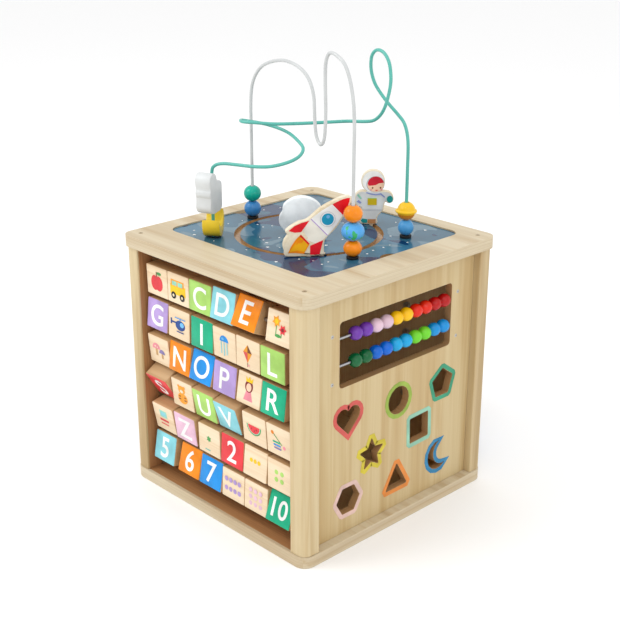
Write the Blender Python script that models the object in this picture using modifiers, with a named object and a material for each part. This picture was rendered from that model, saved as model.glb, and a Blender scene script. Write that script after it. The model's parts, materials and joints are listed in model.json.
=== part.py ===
"""Wooden activity cube with letter blocks, a bead abacus, a shape sorter, gears, a track and a bead maze.

Everything is in metres, with +Z up. The origin is the middle of the base's underside.
The abacus and shape-sorter wall faces +X, the letter blocks face -Y, the gear wall faces +Y and the
arc-track wall faces -X. Pieces that touch in the real toy keep a clearance of SEAT between them.
"""
import math

import bmesh
import bpy
from mathutils import Matrix, Vector

# ---- cube body ----
SEAT = 0.0003                  # clearance between pieces that sit against each other
TOP_WIDTH = 0.300
BASE_WIDTH = 0.297
BOARD = 0.0135                 # thickness of the base and of the top frame
CUBE_TOP = 0.305               # height of the top frame's upper face
CORNER_RADIUS = 0.014
EDGE_ROUND = 0.0018
POST_FACE = 0.147              # distance of a post's two outer faces from the middle
POST_SIZE = 0.022
POST_ROUND = 0.010
WALL_FACE = 0.1375             # outer face of the three wall panels
WALL = 0.009
POST_INNER = POST_FACE - POST_SIZE
POST_LOW = BOARD + SEAT
POST_HIGH = CUBE_TOP - BOARD - SEAT
WALL_MIDDLE = WALL_FACE - WALL / 2
WALL_INNER = WALL_FACE - WALL

# ---- top opening and lift-out panel ----
OPEN_X = (-0.1265, 0.1148)
OPEN_Y = (-0.102, 0.128)
OPEN_ROUND = 0.015
LEDGE = 0.006                  # width of the ledge that the panel rests on
LEDGE_HIGH = CUBE_TOP - 0.008
PANEL_TOP = CUBE_TOP - 0.0015
PANEL_LOW = LEDGE_HIGH + SEAT
PANEL_PLAY = 0.0004
NOTCH_RADIUS = 0.013
NOTCH_INSET = 0.0093           # how far each finger notch reaches into the panel
NOTCH_Y = 0.0095

# ---- circular groove and the figures that ride in it ----
RING_X, RING_Y = -0.006, 0.006
RING_RADIUS = 0.081
GROOVE_WIDTH = 0.007
GROOVE_DEPTH = 0.0035
PEG_RADIUS = 0.0028
FIGURE_LIFT = 0.0006
ROCKET_ANGLE = math.radians(-44)
ROCKET_YAW = math.radians(9)   # the rocket's nose is turned in, away from the bead stack
ROCKET_THICK = 0.0075
ROCKET_CLIMB = math.radians(43.3)
ROCKET_WAIST = (0.0109, 0.0315)
ASTRONAUT_ANGLE = math.radians(74)
ASTRONAUT_FACING = math.radians(-43.8)
ASTRONAUT_THICK = 0.008
PUFF_THICK = 0.010
PIN_RADIUS = 0.002
HOLE_PLAY = 0.0005             # radial play of wires, pins and rods in their holes

# ---- letter blocks ----
BLOCK_WIDE = 0.0375
BLOCK_TALL = 0.035
BLOCK_DEEP = 0.020
BLOCK_CHAMFER = 0.0012
ROD_RADIUS = 0.002
ROD_Y = -0.1295
ROD_END = 0.132
ROW_BOTTOM = 0.048
ROW_PITCH = 0.0419
BACK_PANEL_Y = (-0.108, -0.1024)
# Left edge (millimetres from the middle) and tilt (degrees, bottom edge outward) of each block.
BLOCK_ROWS = (
    ((-118.2, -1), (-80.3, 0), (-42.4, 2), (-4.5, 10), (33.4, 25), (84, 9)),
    ((-120.5, 6), (-81.5, 2), (-41.2, 2), (-3, -2), (34.9, 0), (73.2, 0)),
    ((-120.5, -6), (-82.5, 6), (-43.5, 15), (-4.5, 7), (35.5, 9), (73.5, 7)),
    ((-120.8, -32), (-80, -6), (-41, -10), (-2.2, -17), (43, -4), (81.5, -4)),
    ((-117, -11), (-77.5, -7), (-34.5, -1), (5, 4), (43.5, 6), (82, 1)),
    ((-118, 10), (-71, 14), (-33, 10), (5.5, 3), (43.5, 3), (82, 18)),
)

# ---- abacus window and shape holes, as (y, z) on the +X wall ----
WINDOW_Y = 0.088
WINDOW_Z = (0.187, 0.261)
WINDOW_ROUND = 0.0045
ABACUS_ROD_RADIUS = 0.0016
ABACUS_ROD_SEAT = 0.002
ABACUS_ROD_END = 0.0955
ABACUS_ROD_Z = {"upper": 0.241, "lower": 0.2105}
ABACUS_BEAD_HOLE = 0.0022
ABACUS_PITCH = 0.0156
ABACUS_BEAD_RADIUS = 0.0077
HOLE_SIZE = 0.033
SORTER_HOLES = {
    "heart": (-0.074, 0.147),
    "circle": (0.0045, 0.145),
    "pentagon": (0.078, 0.143),
    "square": (0.040, 0.100),
    "star": (-0.0375, 0.0945),
    "crescent": (0.0755, 0.0526),
    "triangle": (0.0043, 0.0472),
    "hexagon": (-0.073, 0.052),
}

# ---- gear wall ----
GEAR_MODULE = 0.004
GEAR_X = 0.038
GEARS = {"gear_large": (30, 0.082), "gear_middle": (10, 0.162), "gear_small": (7, 0.196)}
GEAR_THICK = 0.0087
GEAR_ROOT, GEAR_FLANK, GEAR_TIP = 0.0041, 0.0006, 0.0028  # from the pitch circle
GEAR_STAND_OFF = 0.0006
AXLE_RADIUS = 0.0035
AXLE_HOLE = 0.0040
AXLE_HEAD = 0.0068
AXLE_HEAD_HIGH = 0.0022
NUT_HIGH = 0.003               # height of the nuts and washers inside the walls

# ---- arc track ----
TRACK_Z = 0.088
TRACK_RADIUS = 0.088
TRACK_SLOT = 0.0092
TRACK_ENDS = (math.radians(24), math.radians(156))
SLIDER_ANGLE = math.radians(62)
SLIDER_STEM = 0.0038
SLIDER_KNOB = 0.0145

# ---- bead maze ----
WIRE_RADIUS = 0.0019
WIRE_BEAD_HOLE = 0.0026
BEAD_STEPS = 6                 # straight steps in a maze bead's half outline
COLLAR_RADIUS = 0.0066
COLLAR_HIGH = 0.0028
STACK_ONE = (-0.095, 0.0)
STACK_TWO = (0.092, -0.024)
STACK_THREE = (0.080, 0.073)
STACK_FOUR = (-0.072, -0.0785)
BEADS_LOW = PANEL_TOP + COLLAR_HIGH + 2 * SEAT
MOON_LOW = PANEL_TOP + 2 * SEAT
MOON_RADIUS = 0.0165
MOON_FACING = math.radians(-140)
MOON_TURN = math.radians(77)    # how far the horns are turned up
MOON_THICK = 0.0195
CLOUD_FACING = math.radians(22)
CLOUD_THICK = 0.019
CLOUD_LOW = MOON_LOW + 0.0290  # above the moon's upper horn
# Route of the white wire in the upright plane from stack one to stack two: (distance, height).
WHITE_ROUTE = (
    (0, 0.2978), (0, 0.340), (0, 0.400), (0, 0.440), (0.0045, 0.463), (0.018, 0.480), (0.038, 0.490),
    (0.066, 0.4955), (0.093, 0.492), (0.1105, 0.482), (0.1195, 0.465), (0.1215, 0.440), (0.1245, 0.423),
    (0.132, 0.4155), (0.1385, 0.424), (0.1405, 0.450), (0.1395, 0.490), (0.1415, 0.506),
    (0.148, 0.5135), (0.160, 0.5115), (0.1735, 0.503), (0.1835, 0.482), (0.1885, 0.452),
    (0.1885, 0.400), (0.1885, 0.340), (0.1885, 0.2978),
)
TEAL_ROUTE = (
    (0.080, 0.073, 0.2978), (0.080, 0.073, 0.340), (0.080, 0.073, 0.380), (0.0795, 0.073, 0.412),
    (0.0745, 0.0725, 0.430), (0.064, 0.0725, 0.4395), (0.051, 0.072, 0.449), (0.040, 0.071, 0.459),
    (0.031, 0.070, 0.470), (0.0265, 0.069, 0.484), (0.029, 0.067, 0.4985), (0.037, 0.066, 0.506),
    (0.049, 0.064, 0.505), (0.059, 0.062, 0.496), (0.064, 0.060, 0.482), (0.064, 0.059, 0.469),
    (0.059, 0.059, 0.452), (0.0515, 0.060, 0.440), (0.041, 0.0605, 0.4315), (0.028, 0.060, 0.428),
    (0.004, 0.0545, 0.4255), (-0.012, 0.036, 0.4245), (-0.029, 0.013, 0.424), (-0.046, -0.0085, 0.424),
    (-0.065, -0.019, 0.424), (-0.081, -0.0245, 0.4235), (-0.089, -0.020, 0.4235), (-0.083, -0.0125, 0.422),
    (-0.069, -0.0035, 0.420), (-0.053, 0.0025, 0.417), (-0.034, 0.003, 0.4135), (-0.014, -0.0015, 0.408),
    (-0.004, -0.0045, 0.4025), (0.0015, -0.015, 0.397), (0.0015, -0.031, 0.393), (-0.006, -0.049, 0.390),
    (-0.022, -0.059, 0.3885), (-0.043, -0.066, 0.388), (-0.060, -0.0725, 0.3875),
    (-0.069, -0.077, 0.384), (-0.072, -0.0785, 0.375), (-0.072, -0.0785, 0.340), (-0.072, -0.0785, 0.2978),
)

PALETTE = {
    "wood": (0.79, 0.64, 0.43), "panel": (0.11, 0.23, 0.36), "steel": (0.65, 0.65, 0.66),
    "white": (0.86, 0.87, 0.86), "teal": (0.10, 0.47, 0.38), "black": (0.02, 0.02, 0.02),
    "green": (0.01, 0.35, 0.20), "blue": (0.05, 0.22, 0.62), "orange": (0.90, 0.27, 0.01),
    "yellow": (0.83, 0.58, 0.02), "sky": (0.06, 0.35, 0.72), "lime": (0.25, 0.62, 0.03),
    "pink": (0.80, 0.38, 0.45), "purple": (0.25, 0.10, 0.45), "red": (0.72, 0.03, 0.03),
    "maroon": (0.35, 0.01, 0.01), "forest": (0.01, 0.14, 0.07),
}
UPPER_COLOURS = ("maroon", "maroon", "red", "red", "yellow", "yellow", "pink", "pink", "purple", "purple")
LOWER_COLOURS = ("blue", "blue", "lime", "lime", "sky", "sky", "blue", "blue", "forest", "forest")


# ---------------------------------------------------------------- scene and materials
def clear_scene():
    for item in list(bpy.data.objects):
        bpy.data.objects.remove(item, do_unlink=True)


def new_collection(name):
    collection = bpy.data.collections.new(name)
    bpy.context.scene.collection.children.link(collection)
    return collection


def material(name, colour, roughness=0.5, metallic=0.0):
    result = bpy.data.materials.new(name)
    result.use_nodes = True
    shader = result.node_tree.nodes["Principled BSDF"]
    shader.inputs["Base Color"].default_value = (*PALETTE[colour], 1.0)
    shader.inputs["Roughness"].default_value = roughness
    shader.inputs["Metallic"].default_value = metallic
    return result


def add_part(name, mesh, colour, roughness=0.5, metallic=0.0, place=None):
    part = bpy.data.objects.new(name, mesh)
    PARTS.objects.link(part)
    mesh.materials.append(material(name, colour, roughness, metallic))
    if place is not None:
        part.matrix_world = place
    return part


def add_cutter(name, mesh):
    cutter = bpy.data.objects.new(name, mesh)
    CUTTERS.objects.link(cutter)
    cutter.hide_render = True
    cutter.display_type = "WIRE"
    return cutter


def cut(part, cutter, operation="DIFFERENCE"):
    boolean = part.modifiers.new("cut_" + cutter.name, "BOOLEAN")
    boolean.operation = operation
    boolean.object = cutter


def round_edges(part, width, segments=2):
    bevel = part.modifiers.new("rounded_edges", "BEVEL")
    bevel.width = width
    bevel.segments = segments
    bevel.limit_method = "ANGLE"
    bevel.angle_limit = math.radians(50)


# ---------------------------------------------------------------- outlines, as lists of (u, v)
def arc(centre, radius, start, end, steps):
    """Points on an arc, both ends included; angles in radians."""
    turn = (end - start) / steps
    return [
        (centre[0] + radius * math.cos(start + turn * i), centre[1] + radius * math.sin(start + turn * i))
        for i in range(steps + 1)
    ]


def circle(centre, radius, steps):
    return arc(centre, radius, 0, math.tau, steps)[:-1]


def rounded(corners, radius, steps=3):
    """A polygon with its corners rounded; radius is one number, or one for each corner."""
    radii = radius if isinstance(radius, (list, tuple)) else [radius] * len(corners)
    points = []
    for i, corner in enumerate(corners):
        here = Vector(corner)
        back = (Vector(corners[i - 1]) - here).normalized()
        ahead = (Vector(corners[(i + 1) % len(corners)]) - here).normalized()
        half = back.angle(ahead) / 2
        reach = radii[i] / math.tan(half)
        centre = here + (back + ahead).normalized() * radii[i] / math.sin(half)
        first = here + back * reach - centre
        last = here + ahead * reach - centre
        turn = math.atan2(first.x * last.y - first.y * last.x, first.dot(last))
        begin = math.atan2(first.y, first.x)
        points += arc(centre, radii[i], begin, begin + turn, steps)
    return points


def rectangle(u_range, v_range, radius, steps=3):
    (u0, u1), (v0, v1) = u_range, v_range
    return rounded([(u0, v0), (u1, v0), (u1, v1), (u0, v1)], radius, steps)


def regular(sides, radius, start):
    return [
        (radius * math.cos(start + math.tau * i / sides), radius * math.sin(start + math.tau * i / sides))
        for i in range(sides)
    ]


def star(outer, inner):
    points = []
    for i in range(10):
        radius = outer if i % 2 == 0 else inner
        angle = math.pi / 2 + math.tau * i / 10
        points.append((radius * math.cos(angle), radius * math.sin(angle)))
    return points


def heart(width):
    """Two round lobes above a point."""
    lobe = width * 0.27
    spread = width / 2 - lobe
    high = width * 0.16
    right = arc((spread, high), lobe, math.radians(-42), math.radians(144), 8)
    left = [(-u, v) for u, v in reversed(right)]
    return right + left + [(0, -width * 0.46)]


def crescent(outer, bite, shift, steps=9):
    """A crescent whose horns point along +u; shift is how far the bite's centre lies along +u."""
    meet = (outer ** 2 - bite ** 2 + shift ** 2) / (2 * shift)
    half_outer = math.acos(meet / outer)
    half_bite = math.acos((meet - shift) / bite)
    back = arc((0, 0), outer, half_outer, math.tau - half_outer, steps)
    front = arc((shift, 0), bite, math.tau - half_bite, half_bite, steps)
    return back + front[1:-1]


def turned(points, angle, shift=(0, 0)):
    cos, sin = math.cos(angle), math.sin(angle)
    return [(shift[0] + u * cos - v * sin, shift[1] + u * sin + v * cos) for u, v in points]


def sorter_outline(name):
    size = HOLE_SIZE
    shapes = {
        "heart": heart(size * 1.06),
        "circle": circle((0, 0), size / 2, 16),
        "pentagon": rounded(regular(5, size * 0.56, math.pi / 2), 0.001, 1),
        "square": rounded(regular(4, size * 0.66, math.radians(47)), 0.001, 1),
        "star": rounded(star(size * 0.60, size * 0.29), 0.0008, 1),
        "crescent": turned(crescent(size * 0.55, size * 0.50, size * 0.26), math.radians(20)),
        "triangle": rounded(regular(3, size * 0.63, math.pi / 2), 0.001, 1),
        "hexagon": rounded(regular(6, size * 0.54, 0), 0.001, 1),
    }
    return turned(shapes[name], 0, SORTER_HOLES[name])


# ---------------------------------------------------------------- solids
def wall_place(facing, distance, u=0.0, v=0.0):
    """Local (u, v, out) axes of a wall seen from outside; distance is along its outward normal."""
    along = {"+X": (0, 1, 0), "-X": (0, -1, 0), "-Y": (1, 0, 0), "+Y": (-1, 0, 0)}[facing]
    right = Vector(along)
    out = right.cross(Vector((0, 0, 1)))
    place = Matrix((right, Vector((0, 0, 1)), out)).transposed().to_4x4()
    place.translation = right * u + Vector((0, 0, v)) + out * distance
    return place


def upright_place(x, y, z, facing):
    """An upright plate at (x, y, z) whose front looks along the compass angle facing."""
    out = Vector((math.cos(facing), math.sin(facing), 0))
    right = Vector((0, 0, 1)).cross(out)
    place = Matrix((right, Vector((0, 0, 1)), out)).transposed().to_4x4()
    place.translation = (x, y, z)
    return place


def level_place(z, x=0.0, y=0.0):
    return Matrix.Translation((x, y, z))


def welded_mesh(curve_object):
    """The closed mesh of a curve object, which is removed; its caps are welded to its sides."""
    evaluated = curve_object.evaluated_get(bpy.context.evaluated_depsgraph_get())
    mesh = bpy.data.meshes.new_from_object(evaluated)
    bpy.data.objects.remove(curve_object)
    work = bmesh.new()
    work.from_mesh(mesh)
    bmesh.ops.remove_doubles(work, verts=work.verts, dist=0.00001)
    work.to_mesh(mesh)
    work.free()
    mesh.materials.clear()
    return mesh


def plate_mesh(name, loops, thickness):
    """A flat plate, centred on its own plane, from an outline and the loops of its through holes."""
    curve = bpy.data.curves.new(name, "CURVE")
    curve.dimensions = "2D"
    curve.fill_mode = "BOTH"
    curve.extrude = thickness / 2
    for loop in loops:
        spline = curve.splines.new("POLY")
        spline.points.add(len(loop) - 1)
        spline.use_cyclic_u = True
        for point, (u, v) in zip(spline.points, loop):
            point.co = (u, v, 0, 1)
    outline = bpy.data.objects.new(name + "_outline", curve)
    bpy.context.scene.collection.objects.link(outline)
    return welded_mesh(outline)


def joined_mesh(name, pieces):
    """One mesh holding several separate solids; pieces are (mesh, matrix)."""
    work = bmesh.new()
    for mesh, place in pieces:
        piece = mesh.copy()
        piece.transform(place)
        work.from_mesh(piece)
        bpy.data.meshes.remove(piece)
    mesh = bpy.data.meshes.new(name)
    work.to_mesh(mesh)
    work.free()
    return mesh


def cylinder_mesh(name, radius, length, sides):
    """A cylinder centred on the origin, along Z."""
    work = bmesh.new()
    bmesh.ops.create_cone(
        work, cap_ends=True, segments=sides, radius1=radius, radius2=radius, depth=length
    )
    mesh = bpy.data.meshes.new(name)
    work.to_mesh(mesh)
    work.free()
    return mesh


def turned_part(name, profile, colour, steps=12, closed=True, place=None, **finish):
    """A turned piece; profile is (radius, height), down the outer side, then up the bore."""
    mesh = bpy.data.meshes.new(name)
    edges = [(i, i + 1) for i in range(len(profile) - 1)]
    if closed:
        edges.append((len(profile) - 1, 0))
    mesh.from_pydata([(radius, 0, height) for radius, height in profile], edges, [])
    part = add_part(name, mesh, colour, place=place, **finish)
    screw = part.modifiers.new("turned", "SCREW")
    screw.axis = "Z"
    screw.steps = steps
    screw.render_steps = steps
    screw.use_merge_vertices = True
    screw.merge_threshold = 0.00001
    return part


def baked_mesh(part):
    """The part's mesh with its modifiers applied; the part is removed."""
    evaluated = part.evaluated_get(bpy.context.evaluated_depsgraph_get())
    mesh = bpy.data.meshes.new_from_object(evaluated)
    mesh.materials.clear()
    bpy.data.objects.remove(part)
    return mesh


def bead_profile(radius, height, bore, steps=5):
    """A bead standing on z = 0: a flattened ball with a bore."""
    low = math.asin(min(0.98, bore * 1.5 / radius))
    middle = height / 2
    stretch = middle / math.cos(low)
    outer = []
    for i in range(steps + 1):
        angle = low + (math.pi - 2 * low) * i / steps
        outer.append((radius * math.sin(angle), middle + stretch * math.cos(angle)))
    return outer + [(bore, 0), (bore, height)]


# ---------------------------------------------------------------- cube body
def build_base():
    half = BASE_WIDTH / 2
    loops = [rectangle((-half, half), (-half, half), CORNER_RADIUS, 7)]
    mesh = plate_mesh("base_plate", loops, BOARD)
    part = add_part("base_plate", mesh, "wood", place=level_place(BOARD / 2))
    round_edges(part, EDGE_ROUND)


def build_top_frame():
    half = TOP_WIDTH / 2
    outer = rectangle((-half, half), (-half, half), CORNER_RADIUS, 7)
    ledge_x = (OPEN_X[0] + LEDGE, OPEN_X[1] - LEDGE)
    ledge_y = (OPEN_Y[0] + LEDGE, OPEN_Y[1] - LEDGE)
    inner = rectangle(ledge_x, ledge_y, OPEN_ROUND - LEDGE, 4)
    mesh = plate_mesh("top_frame", [outer, inner], BOARD)
    part = add_part("top_frame", mesh, "wood", place=level_place(CUBE_TOP - BOARD / 2))
    round_edges(part, EDGE_ROUND)
    pocket_high = 0.012
    pocket = plate_mesh("panel_pocket", [rectangle(OPEN_X, OPEN_Y, OPEN_ROUND, 5)], pocket_high)
    pocket.transform(level_place(LEDGE_HIGH + pocket_high / 2))
    cut(part, add_cutter("panel_pocket", pocket))


def build_posts():
    corners = {"post_front": (1, -1), "post_right": (1, 1), "post_back": (-1, 1), "post_left": (-1, -1)}
    small = 0.0015
    for name, (side_x, side_y) in corners.items():
        corner_points = [
            (side_x * POST_FACE, side_y * POST_FACE), (side_x * POST_INNER, side_y * POST_FACE),
            (side_x * POST_INNER, side_y * POST_INNER), (side_x * POST_FACE, side_y * POST_INNER),
        ]
        outline = []
        for i, radius in enumerate((POST_ROUND, small, small, small)):
            steps = 7 if i == 0 else 2
            outline += rounded(corner_points, [radius] * 4, steps)[i * (steps + 1):(i + 1) * (steps + 1)]
        height = POST_HIGH - POST_LOW
        place = level_place((POST_HIGH + POST_LOW) / 2)
        part = add_part(name, plate_mesh(name, [outline], height), "wood", place=place)
        if side_y < 0:
            cut(part, ROD_HOLES)


def build_alphabet_back():
    reach = WALL_INNER - SEAT
    thickness = BACK_PANEL_Y[1] - BACK_PANEL_Y[0]
    outline = rectangle((-reach, reach), (POST_LOW, POST_HIGH), 0.0005, 1)
    mesh = plate_mesh("alphabet_back_panel", [outline], thickness)
    add_part("alphabet_back_panel", mesh, "wood", place=wall_place("-Y", -(sum(BACK_PANEL_Y) / 2)))


def wall_outline():
    reach = POST_INNER - SEAT
    return rectangle((-reach, reach), (POST_LOW, POST_HIGH), 0.0008, 1)


def build_sorter_wall():
    window = rectangle((-WINDOW_Y, WINDOW_Y), WINDOW_Z, WINDOW_ROUND, 4)
    loops = [wall_outline(), window] + [sorter_outline(name) for name in SORTER_HOLES]
    mesh = plate_mesh("sorter_panel", loops, WALL)
    part = add_part("sorter_panel", mesh, "wood", place=wall_place("+X", WALL_MIDDLE))
    rod = cylinder_mesh("rod_seat", ABACUS_ROD_SEAT, 2 * (ABACUS_ROD_END + SEAT), 8)
    lie = Matrix.Rotation(math.pi / 2, 4, "X")
    seats = [(rod, Matrix.Translation((WALL_MIDDLE, 0, z)) @ lie) for z in ABACUS_ROD_Z.values()]
    cut(part, add_cutter("abacus_rod_seats", joined_mesh("abacus_rod_seats", seats)))


# ---------------------------------------------------------------- letter blocks
def row_heights():
    return [ROW_BOTTOM + ROW_PITCH * (len(BLOCK_ROWS) - 1 - i) for i in range(len(BLOCK_ROWS))]


def rod_mesh(name, radius, end, sides):
    """A rod along x, through the middle of its own row."""
    mesh = cylinder_mesh(name, radius, 2 * end, sides)
    mesh.transform(Matrix.Rotation(math.pi / 2, 4, "Y"))
    return mesh


def row_rods_mesh(name, radius, end, sides):
    rod = rod_mesh(name, radius, end, sides)
    return joined_mesh(name, [(rod, Matrix.Translation((0, ROD_Y, z))) for z in row_heights()])


def build_alphabet_rows():
    """Each row is one turning piece: a rod and its six blocks, each block at its own rest angle."""
    deep, tall = BLOCK_DEEP / 2, BLOCK_TALL / 2
    section = rounded([(-deep, -tall), (deep, -tall), (deep, tall), (-deep, tall)], BLOCK_CHAMFER, 1)
    block = plate_mesh("letter_block", [section], BLOCK_WIDE)
    # The section's (u, v) axes become the row's (y, z), and the block's width lies along x.
    lie = wall_place("+X", 0)
    for row, (blocks, height) in enumerate(zip(BLOCK_ROWS, row_heights()), start=1):
        place = Matrix.Translation((0, ROD_Y, height))
        pieces = []
        for left, tilt in blocks:
            middle = left / 1000 + BLOCK_WIDE / 2
            turn = Matrix.Rotation(math.radians(-tilt), 4, "X")
            pieces.append((block, Matrix.Translation((middle, 0, 0)) @ turn @ lie))
        name = f"letter_row_{row}"
        part = add_part(name, joined_mesh(name, pieces), "wood", place=place)
        rod = rod_mesh(name + "_rod", ROD_RADIUS, ROD_END, 10)
        rod.transform(place)
        cut(part, add_cutter(name + "_rod", rod), "UNION")


# ---------------------------------------------------------------- abacus
def build_abacus():
    rod = cylinder_mesh("abacus_rod", ABACUS_ROD_RADIUS, 2 * ABACUS_ROD_END, 10)
    lie = Matrix.Rotation(math.pi / 2, 4, "X")
    for level, z in ABACUS_ROD_Z.items():
        place = Matrix.Translation((WALL_MIDDLE, 0, z)) @ lie
        add_part("abacus_rod_" + level, rod.copy(), "steel", roughness=0.25, metallic=1.0, place=place)
    length = ABACUS_PITCH - SEAT
    profile = bead_profile(ABACUS_BEAD_RADIUS, length, ABACUS_BEAD_HOLE)
    for level, colours in (("upper", UPPER_COLOURS), ("lower", LOWER_COLOURS)):
        for i, colour in enumerate(colours):
            start = WINDOW_Y - SEAT - i * ABACUS_PITCH
            place = Matrix.Translation((WALL_MIDDLE, start, ABACUS_ROD_Z[level])) @ lie
            turned_part(f"abacus_{level}_bead_{i + 1}", profile, colour, place=place, roughness=0.3)


# ---------------------------------------------------------------- gear wall
def gear_outline(teeth):
    """Chunky trapezium teeth with enough backlash to turn freely."""
    pitch = GEAR_MODULE * teeth / 2
    # Radius, and half the tooth's width there as a share of the pitch angle.
    levels = ((pitch - GEAR_ROOT, 0.36), (pitch - GEAR_FLANK, 0.245), (pitch + GEAR_TIP, 0.115))
    share = math.tau / teeth
    points = []
    for tooth in range(teeth):
        middle = tooth * share
        points += [(radius, middle - width * share) for radius, width in levels]
        points += [(radius, middle + width * share) for radius, width in reversed(levels)]
    return [(radius * math.cos(angle), radius * math.sin(angle)) for radius, angle in points]


def gear_phases():
    """Rest angles in the wall's own (u, v) axes, so that neighbours are in mesh one above another."""
    up = math.pi / 2
    middle_teeth, small_teeth = GEARS["gear_middle"][0], GEARS["gear_small"][0]
    large = up
    middle = -up + math.pi / middle_teeth
    # The middle gear's tooth direction at the top sets the small gear's gap at its bottom.
    offset = (up - middle) % (math.tau / middle_teeth)
    small = -up + math.pi / small_teeth + offset * middle_teeth / small_teeth
    return {"gear_large": large, "gear_middle": middle, "gear_small": small}


def build_gear_wall():
    holes = [circle((-GEAR_X, z), AXLE_HOLE, 10) for _, z in GEARS.values()]
    mesh = plate_mesh("gear_panel", [wall_outline()] + holes, WALL)
    add_part("gear_panel", mesh, "wood", place=wall_place("+Y", WALL_MIDDLE))
    colours = {"gear_large": "sky", "gear_middle": "yellow", "gear_small": "red"}
    distance = WALL_FACE + GEAR_STAND_OFF + GEAR_THICK / 2
    phases = gear_phases()
    for name, (teeth, z) in GEARS.items():
        outline = turned(gear_outline(teeth), phases[name])
        mesh = plate_mesh(name, [outline, circle((0, 0), AXLE_HOLE, 10)], GEAR_THICK)
        add_part(name, mesh, colours[name], place=wall_place("+Y", distance, -GEAR_X, z))
    build_gear_axles()


def build_gear_axles():
    """Each axle is a bolt through the wall: head outside, nut end inside, one turned profile."""
    head_low = GEAR_STAND_OFF + GEAR_THICK + SEAT
    head_high = head_low + AXLE_HEAD_HIGH
    nut_radius = 0.005
    inside = -WALL - SEAT
    nut_end = inside - NUT_HIGH
    profile = [
        (0, head_high), (AXLE_HEAD - 0.0012, head_high), (AXLE_HEAD, head_high - 0.0013),
        (AXLE_HEAD, head_low), (AXLE_RADIUS, head_low), (AXLE_RADIUS, inside), (nut_radius, inside),
        (nut_radius, nut_end), (0, nut_end),
    ]
    for name, (_, z) in GEARS.items():
        place = wall_place("+Y", WALL_FACE, -GEAR_X, z)
        turned_part(
            name.replace("gear", "gear_axle"), profile, "steel", steps=10, closed=False,
            place=place, roughness=0.3, metallic=1.0,
        )


# ---------------------------------------------------------------- arc track wall
def build_track_wall():
    start, end = TRACK_ENDS
    half = TRACK_SLOT / 2
    cap = 5
    far = arc((0, TRACK_Z), TRACK_RADIUS + half, start, end, 22)
    end_centre = (TRACK_RADIUS * math.cos(end), TRACK_Z + TRACK_RADIUS * math.sin(end))
    start_centre = (TRACK_RADIUS * math.cos(start), TRACK_Z + TRACK_RADIUS * math.sin(start))
    near = arc((0, TRACK_Z), TRACK_RADIUS - half, end, start, 22)
    slot = far + arc(end_centre, half, end, end + math.pi, cap)[1:-1] + near
    slot += arc(start_centre, half, start + math.pi, start + math.tau, cap)[1:-1]
    mesh = plate_mesh("track_panel", [wall_outline(), slot], WALL)
    add_part("track_panel", mesh, "wood", place=wall_place("-X", WALL_MIDDLE))
    build_track_slider()


def build_track_slider():
    """A knob outside the wall, a stem through the slot and a wider foot inside."""
    outside, inside = SEAT, -WALL - SEAT
    knob_high = outside + 0.0115
    knob_round = 0.003
    foot_radius = 0.009
    foot_end = inside - NUT_HIGH
    profile = [
        (0, knob_high), (SLIDER_KNOB - knob_round, knob_high), (SLIDER_KNOB, knob_high - knob_round),
        (SLIDER_KNOB, outside + 0.002), (SLIDER_KNOB - 0.002, outside), (SLIDER_STEM, outside),
        (SLIDER_STEM, inside), (foot_radius, inside), (foot_radius, foot_end), (0, foot_end),
    ]
    spot = (TRACK_RADIUS * math.cos(SLIDER_ANGLE), TRACK_Z + TRACK_RADIUS * math.sin(SLIDER_ANGLE))
    place = wall_place("-X", WALL_FACE, *spot)
    turned_part("track_slider", profile, "red", steps=16, closed=False, place=place)


# ---------------------------------------------------------------- maze panel
def build_panel():
    play = PANEL_PLAY
    x0, x1 = OPEN_X[0] + play, OPEN_X[1] - play
    y0, y1 = OPEN_Y[0] + play, OPEN_Y[1] - play
    radius = OPEN_ROUND - play
    corners = {
        "low_right": arc((x1 - radius, y0 + radius), radius, -math.pi / 2, 0, 5),
        "high_right": arc((x1 - radius, y1 - radius), radius, 0, math.pi / 2, 5),
        "high_left": arc((x0 + radius, y1 - radius), radius, math.pi / 2, math.pi, 5),
        "low_left": arc((x0 + radius, y0 + radius), radius, math.pi, 1.5 * math.pi, 5),
    }
    reach = math.acos((NOTCH_RADIUS - NOTCH_INSET) / NOTCH_RADIUS)
    centre = NOTCH_RADIUS - NOTCH_INSET
    right = arc((x1 + centre, NOTCH_Y), NOTCH_RADIUS, math.pi + reach, math.pi - reach, 10)
    left = arc((x0 - centre, NOTCH_Y), NOTCH_RADIUS, reach, -reach, 10)
    outline = corners["low_right"] + right + corners["high_right"] + corners["high_left"] + left
    outline += corners["low_left"]
    stacks = (STACK_ONE, STACK_TWO, STACK_THREE, STACK_FOUR)
    holes = [circle(spot, WIRE_RADIUS + HOLE_PLAY, 8) for spot in stacks]
    holes.append(circle((RING_X, RING_Y), PIN_RADIUS + HOLE_PLAY, 8))
    thickness = PANEL_TOP - PANEL_LOW
    mesh = plate_mesh("top_panel", [outline] + holes, thickness)
    part = add_part("top_panel", mesh, "panel", place=level_place(PANEL_LOW + thickness / 2))
    low, high = PANEL_TOP - GROOVE_DEPTH, PANEL_TOP + 0.002
    inner, outer = RING_RADIUS - GROOVE_WIDTH / 2, RING_RADIUS + GROOVE_WIDTH / 2
    section = [(outer, high), (outer, low), (inner, low), (inner, high)]
    ring = turned_part("groove_ring", section, "wood", steps=48)
    groove = baked_mesh(ring)
    groove.transform(Matrix.Translation((RING_X, RING_Y, 0)))
    cut(part, add_cutter("ring_groove", groove))


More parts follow.
